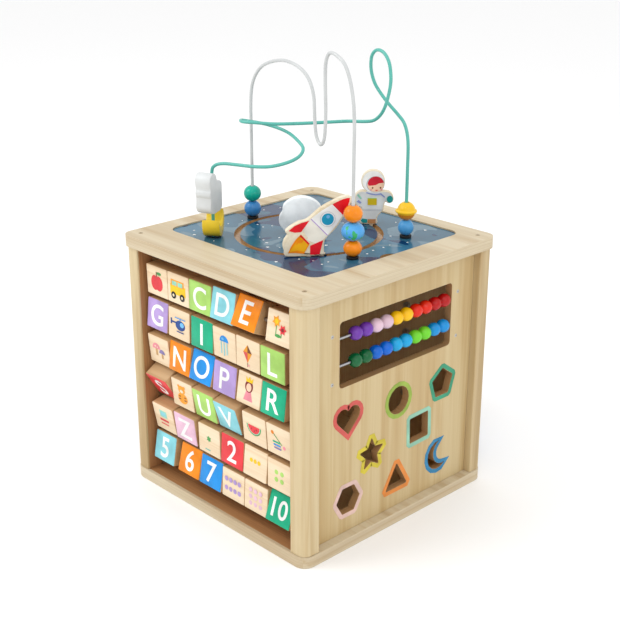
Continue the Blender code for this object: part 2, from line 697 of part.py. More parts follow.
def smooth_route(points, samples=12):
    """A Catmull-Rom curve through the route's own points."""
    route = [Vector(point) for point in points]
    ends = [2 * route[0] - route[1]] + route + [2 * route[-1] - route[-2]]
    curve = []
    for before, start, end, after in zip(ends, ends[1:], ends[2:], ends[3:]):
        for i in range(samples):
            t = i / samples
            curve.append(0.5 * (
                2 * start + (end - before) * t + (2 * before - 5 * start + 4 * end - after) * t ** 2
                + (3 * start - before - 3 * end + after) * t ** 3
            ))
    return curve + [route[-1]]


def thinned(points, tolerance):
    """Fewer points where the curve is nearly straight (the Douglas-Peucker rule)."""
    first, last = points[0], points[-1]
    span = last - first
    worst, index = 0.0, 0
    for i in range(1, len(points) - 1):
        offset = points[i] - first
        away = (offset - span * (offset.dot(span) / span.dot(span))).length
        if away > worst:
            worst, index = away, i
    if worst <= tolerance:
        return [first, last]
    return thinned(points[:index + 1], tolerance)[:-1] + thinned(points[index:], tolerance)


def wire_mesh(name, route):
    curve = bpy.data.curves.new(name, "CURVE")
    curve.dimensions = "3D"
    curve.bevel_depth = WIRE_RADIUS
    curve.bevel_resolution = 2
    curve.use_fill_caps = True
    points = thinned(smooth_route(route), 0.0004)
    spline = curve.splines.new("POLY")
    spline.points.add(len(points) - 1)
    for target, point in zip(spline.points, points):
        target.co = (*point, 1)
    wire = bpy.data.objects.new(name + "_curve", curve)
    bpy.context.scene.collection.objects.link(wire)
    return welded_mesh(wire)


def build_wire(name, route, colour, feet):
    """A bent wire with a collar pressed onto each foot."""
    part = add_part(name, wire_mesh(name, route), colour, roughness=0.4)
    collar = cylinder_mesh(name + "_collars", COLLAR_RADIUS, COLLAR_HIGH, 12)
    places = [(collar, Matrix.Translation((x, y, PANEL_TOP + SEAT + COLLAR_HIGH / 2))) for x, y in feet]
    cut(part, add_cutter(name + "_collars", joined_mesh(name + "_collars", places)), "UNION")


def build_wires():
    start, end = Vector(STACK_ONE), Vector(STACK_TWO)
    along = (end - start).normalized()
    stretch = (end - start).length / WHITE_ROUTE[-1][0]
    white = [(*(start + along * distance * stretch), height) for distance, height in WHITE_ROUTE]
    build_wire("wire_white", white, "white", (STACK_ONE, STACK_TWO))
    build_wire("wire_teal", TEAL_ROUTE, "teal", (STACK_THREE,))


def build_stack(spot, beads):
    """Beads from the collar upward; each is (name, colour, radius, height)."""
    low = BEADS_LOW
    for name, colour, radius, height in beads:
        place = Matrix.Translation((*spot, low))
        profile = bead_profile(radius, height, WIRE_BEAD_HOLE, BEAD_STEPS)
        turned_part(name, profile, colour, steps=14, place=place, roughness=0.3)
        low += height + SEAT
    return low


def build_maze_beads():
    build_stack(STACK_ONE, [
        ("maze_bead_blue", "blue", 0.0100, 0.0178), ("maze_bead_green", "green", 0.0102, 0.0178),
    ])
    build_stack(STACK_TWO, [
        ("maze_bead_orange_lower", "orange", 0.0100, 0.0165), ("maze_bead_planet", "sky", 0.0124, 0.0200),
        ("maze_bead_orange_upper", "orange", 0.0101, 0.0178),
    ])
    top = build_stack(STACK_THREE, [("maze_bead_small_blue", "blue", 0.0088, 0.0170)])
    profile = ring_planet_profile(0.0102, 0.0200, 0.0122)
    place = Matrix.Translation((*STACK_THREE, top))
    turned_part("maze_bead_ringed", profile, "yellow", steps=16, place=place, roughness=0.3)


def ring_planet_profile(radius, height, ring):
    """A bead with a raised band around its middle."""
    half_band, half_rim = 0.0022, 0.0008
    clear = half_band + 0.001
    middle = height / 2
    body = bead_profile(radius, height, WIRE_BEAD_HOLE, BEAD_STEPS)
    ball, bore = body[:BEAD_STEPS + 1], body[BEAD_STEPS + 1:]
    upper = [point for point in ball if point[1] > middle + clear]
    lower = [point for point in ball if point[1] < middle - clear]
    edge = radius * 0.97
    band = [
        (edge, middle + half_band), (ring, middle + half_rim), (ring, middle - half_rim),
        (edge, middle - half_band),
    ]
    return upper + band + lower + bore


def cloud_outline():
    """A cloud hung sideways, its lobes towards -u; the bore lies on u = 0, beside the top lobe."""
    # Each lobe: centre u and v, radius, first and last angle in degrees.
    lobes = (
        (-0.0015, 0.0290, 0.0070, 0, 90), (-0.0140, 0.0375, 0.0086, 0, 205),
        (-0.0125, 0.0235, 0.0092, 150, 210), (-0.0125, 0.0093, 0.0090, 160, 280),
        (-0.0015, 0.0080, 0.0070, -100, 0),
    )
    return lobed(lobes)


def lobed(lobes):
    points = []
    for u, v, radius, start, end in lobes:
        points += arc((u, v), radius, math.radians(start), math.radians(end), 5)
    return points


def bored_plate(name, outline, thickness, colour, place):
    """An upright plate with a bore along its local v axis, on u = 0."""
    part = add_part(name, plate_mesh(name, [outline], thickness), colour, place=place)
    tall = 0.09
    bore = cylinder_mesh(name + "_bore", WIRE_BEAD_HOLE, tall, 10)
    bore.transform(place @ Matrix.Rotation(math.pi / 2, 4, "X"))
    cut(part, add_cutter(name + "_bore", bore))


def build_cloud_and_moon():
    moon = crescent(MOON_RADIUS, 0.84 * MOON_RADIUS, 0.60 * MOON_RADIUS, 10)
    moon = turned(moon, MOON_TURN, (0, MOON_RADIUS))
    place = upright_place(*STACK_FOUR, MOON_LOW, MOON_FACING)
    bored_plate("moon_bead", moon, MOON_THICK, "yellow", place)
    place = upright_place(*STACK_FOUR, CLOUD_LOW, CLOUD_FACING)
    bored_plate("cloud_bead", cloud_outline(), CLOUD_THICK, "white", place)


# ---------------------------------------------------------------- figures on the panel
def figure(name, outline, thickness, colour, place, pin_at, pin_radius, pin_low):
    """An upright cut-out with a round peg below it; pin_at is the peg's world (x, y)."""
    part = add_part(name, plate_mesh(name, [outline], thickness), colour, place=place)
    peg_high = PANEL_TOP + 0.009
    peg = cylinder_mesh(name + "_peg", pin_radius, peg_high - pin_low, 12)
    peg.transform(Matrix.Translation((*pin_at, (peg_high + pin_low) / 2)))
    cut(part, add_cutter(name + "_peg", peg), "UNION")


def ring_point(angle):
    return (RING_X + RING_RADIUS * math.cos(angle), RING_Y + RING_RADIUS * math.sin(angle))


def rocket_outline():
    """Side view: nose up to the right, tail and lower fin cut off flat along the base line."""
    # Along and across the hull, measured from its waist.
    near = [
        (-0.0055, -0.0150), (0.0120, -0.0138), (0.0265, -0.0104), (0.0375, -0.0068), (0.0435, -0.0034),
        (0.0460, 0.0), (0.0435, 0.0036), (0.0375, 0.0072), (0.0265, 0.0108), (0.0150, 0.0138),
        (-0.0030, 0.0150), (-0.0110, 0.0192), (-0.0200, 0.0218), (-0.0283, 0.0222), (-0.0296, 0.0176),
        (-0.0360, 0.0160), (-0.0415, 0.0122), (-0.0448, 0.0065),
    ]
    foot = [(-0.0222, 0.0004), (0.0150, 0.0004), (0.0163, 0.0018)]
    return turned(near, ROCKET_CLIMB, ROCKET_WAIST) + foot


def astronaut_outline():
    """Round helmet, arms out, one foot forward; (0, 0) is the peg."""
    helmet = arc((0.0018, 0.0502), 0.0136, math.radians(-52), math.radians(232), 12)
    left = [
        (-0.0120, 0.0396), (-0.0168, 0.0368), (-0.0187, 0.0325), (-0.0187, 0.0270), (-0.0165, 0.0218),
        (-0.0114, 0.0192), (-0.0106, 0.0110), (-0.0130, 0.0045), (-0.0100, 0.0004),
    ]
    right = [
        (0.0062, 0.0004), (0.0068, 0.0065), (0.0082, 0.0100), (0.0135, 0.0160), (0.0150, 0.0230),
        (0.0163, 0.0262), (0.0205, 0.0246), (0.0243, 0.0264), (0.0256, 0.0305), (0.0243, 0.0348),
        (0.0202, 0.0384), (0.0142, 0.0393),
    ]
    return helmet + left + right


def puff_outline():
    """A broad standing cloud with a high middle lobe."""
    return lobed((
        (0.0085, 0.0150, 0.0125, -75, 60), (-0.0080, 0.0165, 0.0262, 38, 142),
        (-0.0205, 0.0160, 0.0132, 135, 255),
    ))


def build_figures():
    base_z = PANEL_TOP + FIGURE_LIFT
    groove_low = PANEL_TOP - GROOVE_DEPTH + 0.0005
    spot = ring_point(ROCKET_ANGLE)
    place = upright_place(*spot, base_z, ROCKET_ANGLE + ROCKET_YAW)
    figure("rocket", rocket_outline(), ROCKET_THICK, "white", place, spot, PEG_RADIUS, groove_low)
    spot = ring_point(ASTRONAUT_ANGLE)
    place = upright_place(*spot, base_z, ASTRONAUT_FACING)
    figure("astronaut", astronaut_outline(), ASTRONAUT_THICK, "white", place, spot, PEG_RADIUS, groove_low)
    spot = (RING_X, RING_Y)
    place = upright_place(*spot, base_z, ASTRONAUT_FACING)
    figure("puff_cloud", puff_outline(), PUFF_THICK, "white", place, spot, PIN_RADIUS, PANEL_LOW)


clear_scene()
PARTS = new_collection("activity_cube")
CUTTERS = new_collection("activity_cube_cutters")
ROD_HOLES = add_cutter("rod_holes", row_rods_mesh("rod_holes", ROD_RADIUS + HOLE_PLAY, ROD_END + SEAT, 8))
build_base()
build_top_frame()
build_posts()
build_alphabet_back()
build_sorter_wall()
build_alphabet_rows()
build_abacus()
build_gear_wall()
build_track_wall()
build_panel()
build_wires()
build_maze_beads()
build_cloud_and_moon()
build_figures()
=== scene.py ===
import json
import math
import random

import bmesh
import bpy
from mathutils import Matrix, Vector


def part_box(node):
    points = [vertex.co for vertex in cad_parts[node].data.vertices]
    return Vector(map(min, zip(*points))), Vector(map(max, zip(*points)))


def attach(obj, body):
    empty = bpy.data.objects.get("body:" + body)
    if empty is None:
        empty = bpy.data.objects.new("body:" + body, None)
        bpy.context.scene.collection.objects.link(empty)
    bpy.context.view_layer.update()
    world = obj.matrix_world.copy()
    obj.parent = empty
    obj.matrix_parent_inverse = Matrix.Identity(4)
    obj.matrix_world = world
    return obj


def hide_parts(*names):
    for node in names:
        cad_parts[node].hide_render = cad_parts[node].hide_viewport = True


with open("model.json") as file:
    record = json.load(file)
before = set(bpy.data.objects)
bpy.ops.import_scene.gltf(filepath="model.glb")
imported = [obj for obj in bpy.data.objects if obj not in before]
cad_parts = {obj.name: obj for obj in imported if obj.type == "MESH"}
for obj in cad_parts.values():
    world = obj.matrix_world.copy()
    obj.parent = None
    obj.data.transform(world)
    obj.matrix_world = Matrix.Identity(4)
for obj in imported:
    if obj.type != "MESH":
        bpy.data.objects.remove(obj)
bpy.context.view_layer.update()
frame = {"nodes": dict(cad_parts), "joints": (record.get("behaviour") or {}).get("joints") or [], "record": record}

NODES = frame["nodes"]
JOINTS = {joint["name"]: joint for joint in frame["joints"]}
MM = 0.001
PRINT = 0.00012               # how far a printed shape stands above the face it is printed on
BAND_FOOT = 0.00002           # how far the foot of a painted band stands above its wall
BAND_TOP = 2 * PRINT
TOP_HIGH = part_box("top_frame")[1]
PANEL_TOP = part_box("top_panel")[1].z
WALL_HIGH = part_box("sorter_panel")[1]
RING = Vector(JOINTS["rocket_orbit"]["pos_m"])
GROOVE_RADIUS = 0.081

# Low and high corners of the boxes in which wood changes colour: raw wood in the bin, and painted shade in the
# letter-row recess and on the sides of the holes.
BIN_BOX = ((-0.1288, -0.1022, 0.013), (0.1288, 0.1288, 0.2925))
ROW_RECESS_SHADE_BOX = ((-0.1253, -0.1445, 0.013), (0.1253, -0.1022, 0.2925))
HOLE_SIDE_SHADE_BOX = ((0.1258, -0.122, 0.015), (0.1402, 0.122, 0.29))
PLY_LAYER = 0.0034            # height after which the plywood's layers repeat

# sRGB colours
INKS = {
    "white": (0.95, 0.95, 0.94), "cream": (0.93, 0.87, 0.74), "black": (0.06, 0.06, 0.07),
    "lime": (0.64, 0.81, 0.40), "aqua": (0.52, 0.80, 0.84), "orange": (0.93, 0.53, 0.03),
    "lilac": (0.70, 0.60, 0.82), "emerald": (0.04, 0.66, 0.49), "blue": (0.10, 0.55, 0.86),
    "red": (0.87, 0.22, 0.25), "coral": (0.87, 0.34, 0.32), "pink": (0.90, 0.74, 0.82),
    "rose": (0.91, 0.55, 0.60), "yellow": (0.96, 0.78, 0.08), "amber": (0.94, 0.62, 0.14),
    "brown": (0.47, 0.27, 0.15), "navy": (0.12, 0.26, 0.52), "teal": (0.30, 0.66, 0.62),
    "mint": (0.58, 0.82, 0.72), "green": (0.28, 0.58, 0.30), "grey": (0.72, 0.74, 0.77),
    "mauve": (0.52, 0.47, 0.66), "skin": (0.95, 0.80, 0.68), "maroon": (0.50, 0.13, 0.14),
    "sky": (0.42, 0.70, 0.90), "tan": (0.80, 0.63, 0.42), "window_blue": (0.0, 0.60, 0.76),
    "puff": (0.93, 0.95, 0.96), "crimson": (0.90, 0.07, 0.14), "flame": (0.94, 0.68, 0.06),
    "hull": (0.92, 0.90, 0.85),
    "hair": (0.80, 0.07, 0.18), "olive": (0.78, 0.68, 0.08), "suit": (0.86, 0.87, 0.87),
    "glove": (0.10, 0.57, 0.56), "collar": (0.55, 0.60, 0.80), "foot": (0.74, 0.52, 0.34),
}


def linear(colour):
    return tuple(c / 12.92 if c <= 0.04045 else ((c + 0.055) / 1.055) ** 2.4 for c in colour)


# ---------------------------------------------------------------- materials
def new_material(name):
    material = bpy.data.materials.new(name)
    material.use_nodes = True
    tree = material.node_tree
    return material, tree, tree.nodes["Principled BSDF"]


def add_node(tree, kind, **settings):
    node = tree.nodes.new(kind)
    for key, value in settings.items():
        setattr(node, key, value)
    return node


def math_node(tree, operation, first, second=None, third=None):
    node = add_node(tree, "ShaderNodeMath", operation=operation)
    for socket, value in zip(node.inputs, (first, second, third)):
        if isinstance(value, bpy.types.NodeSocket):
            tree.links.new(value, socket)
        elif value is not None:
            socket.default_value = value
    return node.outputs[0]


def mix_colour(tree, factor, first, second, blend="MIX"):
    node = add_node(tree, "ShaderNodeMix", data_type="RGBA", blend_type=blend)
    for socket, value in ((node.inputs[0], factor), (node.inputs[6], first), (node.inputs[7], second)):
        if isinstance(value, bpy.types.NodeSocket):
            tree.links.new(value, socket)
        else:
            socket.default_value = value if socket == node.inputs[0] else (*value, 1.0)
    return node.outputs[2]


def stretched_noise(tree, scale, detail=5.0, distortion=0.0):
    """Noise in the object's own coordinates, with a scale of its own along each axis."""
    place = add_node(tree, "ShaderNodeTexCoord")
    mapping = add_node(tree, "ShaderNodeMapping")
    mapping.inputs["Scale"].default_value = scale
    noise = add_node(tree, "ShaderNodeTexNoise")
    noise.inputs["Scale"].default_value = 1.0
    noise.inputs["Detail"].default_value = detail
    noise.inputs["Distortion"].default_value = distortion
    tree.links.new(place.outputs["Object"], mapping.inputs["Vector"])
    tree.links.new(mapping.outputs["Vector"], noise.inputs["Vector"])
    return noise.outputs["Fac"]


def ramp(tree, factor, *stops):
    node = add_node(tree, "ShaderNodeValToRGB")
    elements = node.color_ramp.elements
    while len(elements) < len(stops):
        elements.new(0.5)
    for element, (position, colour) in zip(elements, stops):
        element.position = position
        element.color = (*colour, 1.0)
    tree.links.new(factor, node.inputs["Fac"])
    return node.outputs["Color"]


def add_bump(tree, shader, height, distance, strength=0.5):
    bump = add_node(tree, "ShaderNodeBump")
    bump.inputs["Distance"].default_value = distance
    bump.inputs["Strength"].default_value = strength
    tree.links.new(height, bump.inputs["Height"])
    tree.links.new(bump.outputs["Normal"], shader.inputs["Normal"])


def along(grain, fine, coarse):
    """Noise scale for fibres that run along one axis."""
    return tuple(coarse if axis == grain else fine for axis in "XYZ")


def split_axes(tree, vector):
    """The x, y and z of a vector output."""
    split = add_node(tree, "ShaderNodeSeparateXYZ")
    tree.links.new(vector, split.inputs[0])
    return split.outputs


def split_position(tree):
    return split_axes(tree, add_node(tree, "ShaderNodeTexCoord").outputs["Object"])


def split_normal(tree):
    return split_axes(tree, add_node(tree, "ShaderNodeNewGeometry").outputs["Normal"])


def grained(tree, grain, light, dark):
    """Growth bands, darker streaks and fine fibres along one axis: the colour and the fibres."""
    bands = stretched_noise(tree, along(grain, 34, 1.6), 3.0, 0.6)
    fibres = stretched_noise(tree, along(grain, 520, 9), 4.0)
    streaks = stretched_noise(tree, along(grain, 85, 2.6), 5.0, 0.3)
    colour = ramp(tree, bands, (0.36, dark), (0.52, light), (0.72, light))
    thin = ramp(tree, streaks, (0.50, (1, 1, 1)), (0.64, (0.88, 0.80, 0.69)), (0.70, (1, 1, 1)))
    colour = mix_colour(tree, 0.7, colour, thin, "MULTIPLY")
    tone = ramp(tree, fibres, (0.30, (0.90, 0.86, 0.80)), (0.62, (1, 1, 1)))
    return mix_colour(tree, 0.6, colour, tone, "MULTIPLY"), fibres


def within(tree, value, low, high):
    """1 where a value lies between two limits."""
    above = math_node(tree, "GREATER_THAN", value, low)
    return math_node(tree, "MULTIPLY", above, math_node(tree, "LESS_THAN", value, high))


def region(tree, lows, highs):
    """1 inside a box in the row's frame."""
    inside = [within(tree, *limits) for limits in zip(split_position(tree), lows, highs)]
    return math_node(tree, "MULTIPLY", math_node(tree, "MULTIPLY", inside[0], inside[1]), inside[2])


def bin_wood_and_recess_shade(tree, colour, fibres):
    """Raw pale wood in the bin, and brown painted shade on the wood behind the letter rows and on the sides of the
    holes.
    """
    raw = ramp(tree, fibres, (0.3, linear((0.93, 0.80, 0.60))), (0.7, linear((0.97, 0.87, 0.69))))
    # painted shade: the wood in the recess behind the letter rows is coloured brown
    brown = ramp(tree, fibres, (0.3, linear((0.60, 0.42, 0.26))), (0.7, linear((0.70, 0.51, 0.33))))
    colour = mix_colour(tree, region(tree, *BIN_BOX), colour, raw)
    colour = mix_colour(tree, region(tree, *ROW_RECESS_SHADE_BOX), colour, brown)
    # painted shade: the sides of the holes in the sorter wall are coloured brown
    across = math_node(tree, "LESS_THAN", math_node(tree, "ABSOLUTE", split_normal(tree)[0]), 0.6)
    hole_side_shade = math_node(tree, "MULTIPLY", across, region(tree, *HOLE_SIDE_SHADE_BOX))
    return mix_colour(tree, hole_side_shade, colour, linear((0.66, 0.50, 0.33)))


def wood(name, grain="Z", light=(0.80, 0.72, 0.57), dark=(0.72, 0.61, 0.44), inside=False):
    """Pale softwood with its fibres along one axis."""
    material, tree, shader = new_material(name)
    colour, fibres = grained(tree, grain, linear(light), linear(dark))
    if inside:
        colour = bin_wood_and_recess_shade(tree, colour, fibres)
    finish_wood(tree, shader, colour, fibres)
    return material


def finish_wood(tree, shader, colour, fibres):
    tree.links.new(colour, shader.inputs["Base Color"])
    rough = ramp(tree, fibres, (0.3, (0.46, 0.46, 0.46)), (0.7, (0.60, 0.60, 0.60)))
    tree.links.new(rough, shader.inputs["Roughness"])
    add_bump(tree, shader, fibres, 0.0003, 0.35)


def board_wood(name):
    """Plywood: a quiet face veneer, and thin darker layers along all four upright edges."""
    material, tree, shader = new_material(name)
    light, dark = linear((0.80, 0.745, 0.635)), linear((0.74, 0.665, 0.54))
    along_x, fibres = grained(tree, "X", light, dark)
    along_y = grained(tree, "Y", light, dark)[0]
    normal = split_normal(tree)
    end = math_node(tree, "GREATER_THAN", math_node(tree, "ABSOLUTE", normal[0]), 0.7)
    colour = mix_colour(tree, end, along_x, along_y)
    height = split_position(tree)[2]
    wobble = stretched_noise(tree, (14, 14, 10), 2.0)
    shifted = math_node(tree, "MULTIPLY_ADD", wobble, 0.0010, height)
    layer = math_node(tree, "FRACT", math_node(tree, "DIVIDE", shifted, PLY_LAYER))
    line = ramp(
        tree, layer, (0.0, (0.70, 0.57, 0.42)), (0.22, (1, 1, 1)),
        (0.55, (0.94, 0.90, 0.83)), (0.66, (1, 1, 1)),
    )
    upright = math_node(tree, "LESS_THAN", math_node(tree, "ABSOLUTE", normal[2]), 0.4)
    colour = mix_colour(tree, math_node(tree, "MULTIPLY", upright, 0.5), colour, line, "MULTIPLY")
    colour = bin_wood_and_recess_shade(tree, colour, fibres)
    finish_wood(tree, shader, colour, fibres)
    return material


def paint(name, colour, roughness=0.32, coat=0.10, variation=0.08):
    """Lacquer over wood: slight tone changes, and fibres that just show as relief."""
    material, tree, shader = new_material(name)
    base = linear(colour)
    cloudy = stretched_noise(tree, (45, 45, 45), 3.0)
    darker = tuple(c * (1 - 2.2 * variation) for c in base)
    lighter = tuple(min(1.0, c * (1 + variation) + 0.004) for c in base)
    tree.links.new(ramp(tree, cloudy, (0.35, darker), (0.65, lighter)), shader.inputs["Base Color"])
    fine = stretched_noise(tree, (240, 900, 900), 3.0)
    grey = ramp(tree, fine, (0.3, (roughness - 0.05,) * 3), (0.7, (roughness + 0.09,) * 3))
    tree.links.new(grey, shader.inputs["Roughness"])
    shader.inputs["Specular IOR Level"].default_value = 0.18
    shader.inputs["Coat Weight"].default_value = coat
    shader.inputs["Coat Roughness"].default_value = 0.10
    add_bump(tree, shader, fine, 0.00012, 0.25)
    return material


def steel(name, colour=(0.72, 0.72, 0.73), roughness=0.28):
    material, tree, shader = new_material(name)
    base = linear(colour)
    brushed = stretched_noise(tree, (900, 900, 120), 3.0)
    darker = tuple(c * 0.82 for c in base)
    tree.links.new(ramp(tree, brushed, (0.3, darker), (0.7, base)), shader.inputs["Base Color"])
    grey = ramp(tree, brushed, (0.3, (roughness - 0.06,) * 3), (0.7, (roughness + 0.10,) * 3))
    tree.links.new(grey, shader.inputs["Roughness"])
    shader.inputs["Metallic"].default_value = 1.0
    add_bump(tree, shader, brushed, 0.00008, 0.3)
    return material


def sky_panel(name):
    """The printed night sky on the lift-off panel; its edges and the groove are bare brown wood."""
    material, tree, shader = new_material(name)
    z = split_position(tree)[2]
    soft = stretched_noise(tree, (9, 9, 9), 2.0, 0.4)
    patches = stretched_noise(tree, (13, 15, 1), 1.5, 1.2)
    fibres = stretched_noise(tree, along("X", 420, 8), 4.0)
    colour = ramp(tree, soft, (0.35, linear((0.15, 0.33, 0.415))), (0.65, linear((0.23, 0.43, 0.53))))
    dark = ramp(tree, patches, (0.565, (0, 0, 0)), (0.575, (1, 1, 1)))
    colour = mix_colour(tree, dark, colour, linear((0.04, 0.19, 0.34)))
    dusk = ramp(tree, patches, (0.395, (1, 1, 1)), (0.405, (0, 0, 0)))
    colour = mix_colour(tree, dusk, colour, linear((0.36, 0.48, 0.54)))
    fibre_tone = ramp(tree, fibres, (0.30, (0.86, 0.88, 0.90)), (0.65, (1, 1, 1)))
    colour = mix_colour(tree, 0.7, colour, fibre_tone, "MULTIPLY")
    below = math_node(tree, "LESS_THAN", z, PANEL_TOP - 0.0003)
    bare = ramp(tree, fibres, (0.3, linear((0.58, 0.43, 0.28))), (0.7, linear((0.72, 0.57, 0.39))))
    colour = mix_colour(tree, below, colour, bare)
    tree.links.new(colour, shader.inputs["Base Color"])
    tree.links.new(ramp(tree, fibres, (0.3, (0.13,) * 3), (0.7, (0.21,) * 3)), shader.inputs["Roughness"])
    shader.inputs["Specular IOR Level"].default_value = 0.28
    add_bump(tree, shader, fibres, 0.0001, 0.15)
    return material


def finish_enamel(tree, shader, colour, smoothest, roughest):
    """Glossy enamel over a turned bead, with fibres that just show as relief."""
    tree.links.new(colour, shader.inputs["Base Color"])
    fine = stretched_noise(tree, (240, 900, 900), 3.0)
    rough = ramp(tree, fine, (0.3, (smoothest,) * 3), (0.7, (roughest,) * 3))
    tree.links.new(rough, shader.inputs["Roughness"])
    shader.inputs["Specular IOR Level"].default_value = 0.2
    shader.inputs["Coat Weight"].default_value = 0.25
    add_bump(tree, shader, fine, 0.0001, 0.25)


def planet_paint(name):
    """Blue lacquer with green land."""
    material, tree, shader = new_material(name)
    land = stretched_noise(tree, (62, 62, 74), 2.5, 0.5)
    colour = ramp(
        tree, land, (0.0, linear((0.22, 0.54, 0.82))), (0.555, linear((0.32, 0.64, 0.88))),
        (0.57, linear((0.20, 0.66, 0.42))), (1.0, linear((0.30, 0.72, 0.36))),
    )
    finish_enamel(tree, shader, colour, 0.24, 0.36)
    return material


def banded_paint(name, low, switch, high):
    """One colour below a height and another above it."""
    material, tree, shader = new_material(name)
    above = math_node(tree, "GREATER_THAN", split_position(tree)[2], switch)
    colour = mix_colour(tree, above, linear(low), linear(high))
    cloudy = stretched_noise(tree, (60, 60, 60), 3.0)
    tone = ramp(tree, cloudy, (0.35, (0.88, 0.88, 0.88)), (0.65, (1, 1, 1)))
    colour = mix_colour(tree, 1.0, colour, tone, "MULTIPLY")
    finish_enamel(tree, shader, colour, 0.26, 0.38)
    return material


WOODS = {
    "post": wood("wood_post", "Z", (0.80, 0.725, 0.57), (0.69, 0.59, 0.42), inside=True),
    "wall": wood("wood_wall", "Z", (0.785, 0.705, 0.535), (0.745, 0.645, 0.46), inside=True),
    "level": board_wood("wood_level"),
    "block": wood("wood_block", "X", (0.92, 0.84, 0.72), (0.89, 0.80, 0.67)),
    "cutout": wood("wood_cutout", "X", (0.90, 0.86, 0.77), (0.87, 0.82, 0.71)),
    # painted shade: the blocks' sides are a darker copy of the block wood
    "shaded_block_side": wood("wood_shaded_block_side", "X", (0.78, 0.64, 0.47), (0.68, 0.53, 0.36)),
    # painted shade: the back panel behind the letter rows is coloured darker brown than the walls
    "inner": wood("wood_inner_painted_shade", "X", (0.62, 0.45, 0.28), (0.50, 0.35, 0.20), inside=True),
}
PAINTS = {name: paint("paint_" + name, colour) for name, colour in INKS.items()}
STEEL = steel("steel_rods")
ZINC = steel("zinc_screws", (0.76, 0.77, 0.77), 0.36)
BRONZE = steel("bronzed_screws", (0.72, 0.65, 0.53), 0.42)


def ink(name):
    return WOODS["block"] if name == "wood" else PAINTS[name]


def dress(node, material):
    """Gives a carried-over CAD node its material."""
    mesh = NODES[node].data
    mesh.materials.clear()
    mesh.materials.append(material)


# ---------------------------------------------------------------- mesh building
class Piece:
    """Collects faces in the row's frame, each with its own material, and makes one object of them."""

    def __init__(self, name):
        self.name = name
        self.work = bmesh.new()
        self.materials = []

    def slot_of(self, material):
        if material not in self.materials:
            self.materials.append(material)
        return self.materials.index(material)

    def add_mesh(self, mesh, place, material, smooth=False):
        before = len(self.work.faces)
        copy = mesh.copy()
        copy.transform(place)
        self.work.from_mesh(copy)
        bpy.data.meshes.remove(copy)
        self.work.faces.ensure_lookup_table()
        slot = self.slot_of(material)
        added = self.work.faces[before:]
        for face in added:
            face.material_index = slot
            face.smooth = smooth
        return added

    def add_flat(self, points, place, material, lift=PRINT):
        """A flat printed shape; points are (u, v) and the shape faces the place's +Z."""
        corners = [self.work.verts.new(place @ Vector((u, v, lift))) for u, v in points]
        face = self.work.faces.new(corners)
        face.material_index = self.slot_of(material)
        if face.normal.length == 0:
            face.normal_update()
        return face

    def add_prism(self, points, place, low, high, look, bevel):
        """A plate between two heights of the place's Z, with rounded rims."""
        part = bmesh.new()
        lower = [part.verts.new((u, v, low)) for u, v in points]
        upper = [part.verts.new((u, v, high)) for u, v in points]
        part.faces.new(lower)
        part.faces.new(upper)
        for i in range(len(points)):
            part.faces.new((lower[i - 1], lower[i], upper[i], upper[i - 1]))
        bmesh.ops.recalc_face_normals(part, faces=part.faces)
        rims = [edge for edge in part.edges if abs(edge.verts[0].co.z - edge.verts[1].co.z) < 1e-7]
        bmesh.ops.bevel(part, geom=rims, offset=bevel, segments=2, profile=0.5, affect="EDGES")
        mesh = bpy.data.meshes.new(self.name + "_plate")
        part.normal_update()
        part.to_mesh(mesh)
        part.free()
        added = self.add_mesh(mesh, place, look)
        bpy.data.meshes.remove(mesh)
        out = (place.to_3x3() @ Vector((0, 0, 1))).normalized()
        for face in added:
            face.normal_update()
            face.smooth = abs(face.normal.dot(out)) <= 0.99

    def finish(self, body, replaces=(), slot=None):
        mesh = bpy.data.meshes.new(self.name)
        self.work.to_mesh(mesh)
        self.work.free()
        for material in self.materials:
            mesh.materials.append(material)
        mesh.set_sharp_from_angle(angle=math.radians(40))
        piece = bpy.data.objects.new(self.name, mesh)
        bpy.context.scene.collection.objects.link(piece)
        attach(piece, body)
        if replaces:
            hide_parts(*replaces)

    def finish_node(self, node, body=None):
        """Finishes the piece that takes a CAD node's place, on the body of that name or the one given."""
        self.finish(body or node, (node,), frame_slot(node))


def frame_slot(node):
    return next(part["material_slot"] for part in frame["record"]["subparts"] if part["node"] == node)


def turned_piece(name, mesh, place, look):
    """A piece that so far holds one smooth turned shape."""
    piece = Piece(name)
    piece.add_mesh(mesh, place, look, smooth=True)
    return piece


def signed_area(points):
    return sum(a[0] * b[1] - b[0] * a[1] for a, b in zip(points, points[1:] + points[:1])) / 2


def lathe_mesh(name, profile, steps):
    """A turned solid; profile is (radius, height) from top to bottom, closed on the axis or as a loop."""
    work = bmesh.new()
    closed = profile[0][0] > 1e-6
    rings = []
    for radius, height in profile:
        if radius <= 1e-6:
            rings.append([work.verts.new((0, 0, height))])
        else:
            rings.append([
                work.verts.new((radius * math.cos(angle), radius * math.sin(angle), height))
                for angle in (math.tau * i / steps for i in range(steps))
            ])
    pairs = list(zip(rings, rings[1:]))
    if closed:
        pairs.append((rings[-1], rings[0]))
    for upper, lower in pairs:
        for i in range(steps):
            j = (i + 1) % steps
            corners = []
            for ring, index in ((upper, i), (lower, i), (lower, j), (upper, j)):
                corner = ring[index % len(ring)]
                if corner not in corners:
                    corners.append(corner)
            work.faces.new(corners)
    bmesh.ops.recalc_face_normals(work, faces=work.faces)
    mesh = bpy.data.meshes.new(name)
    work.to_mesh(mesh)
    work.free()
    return mesh


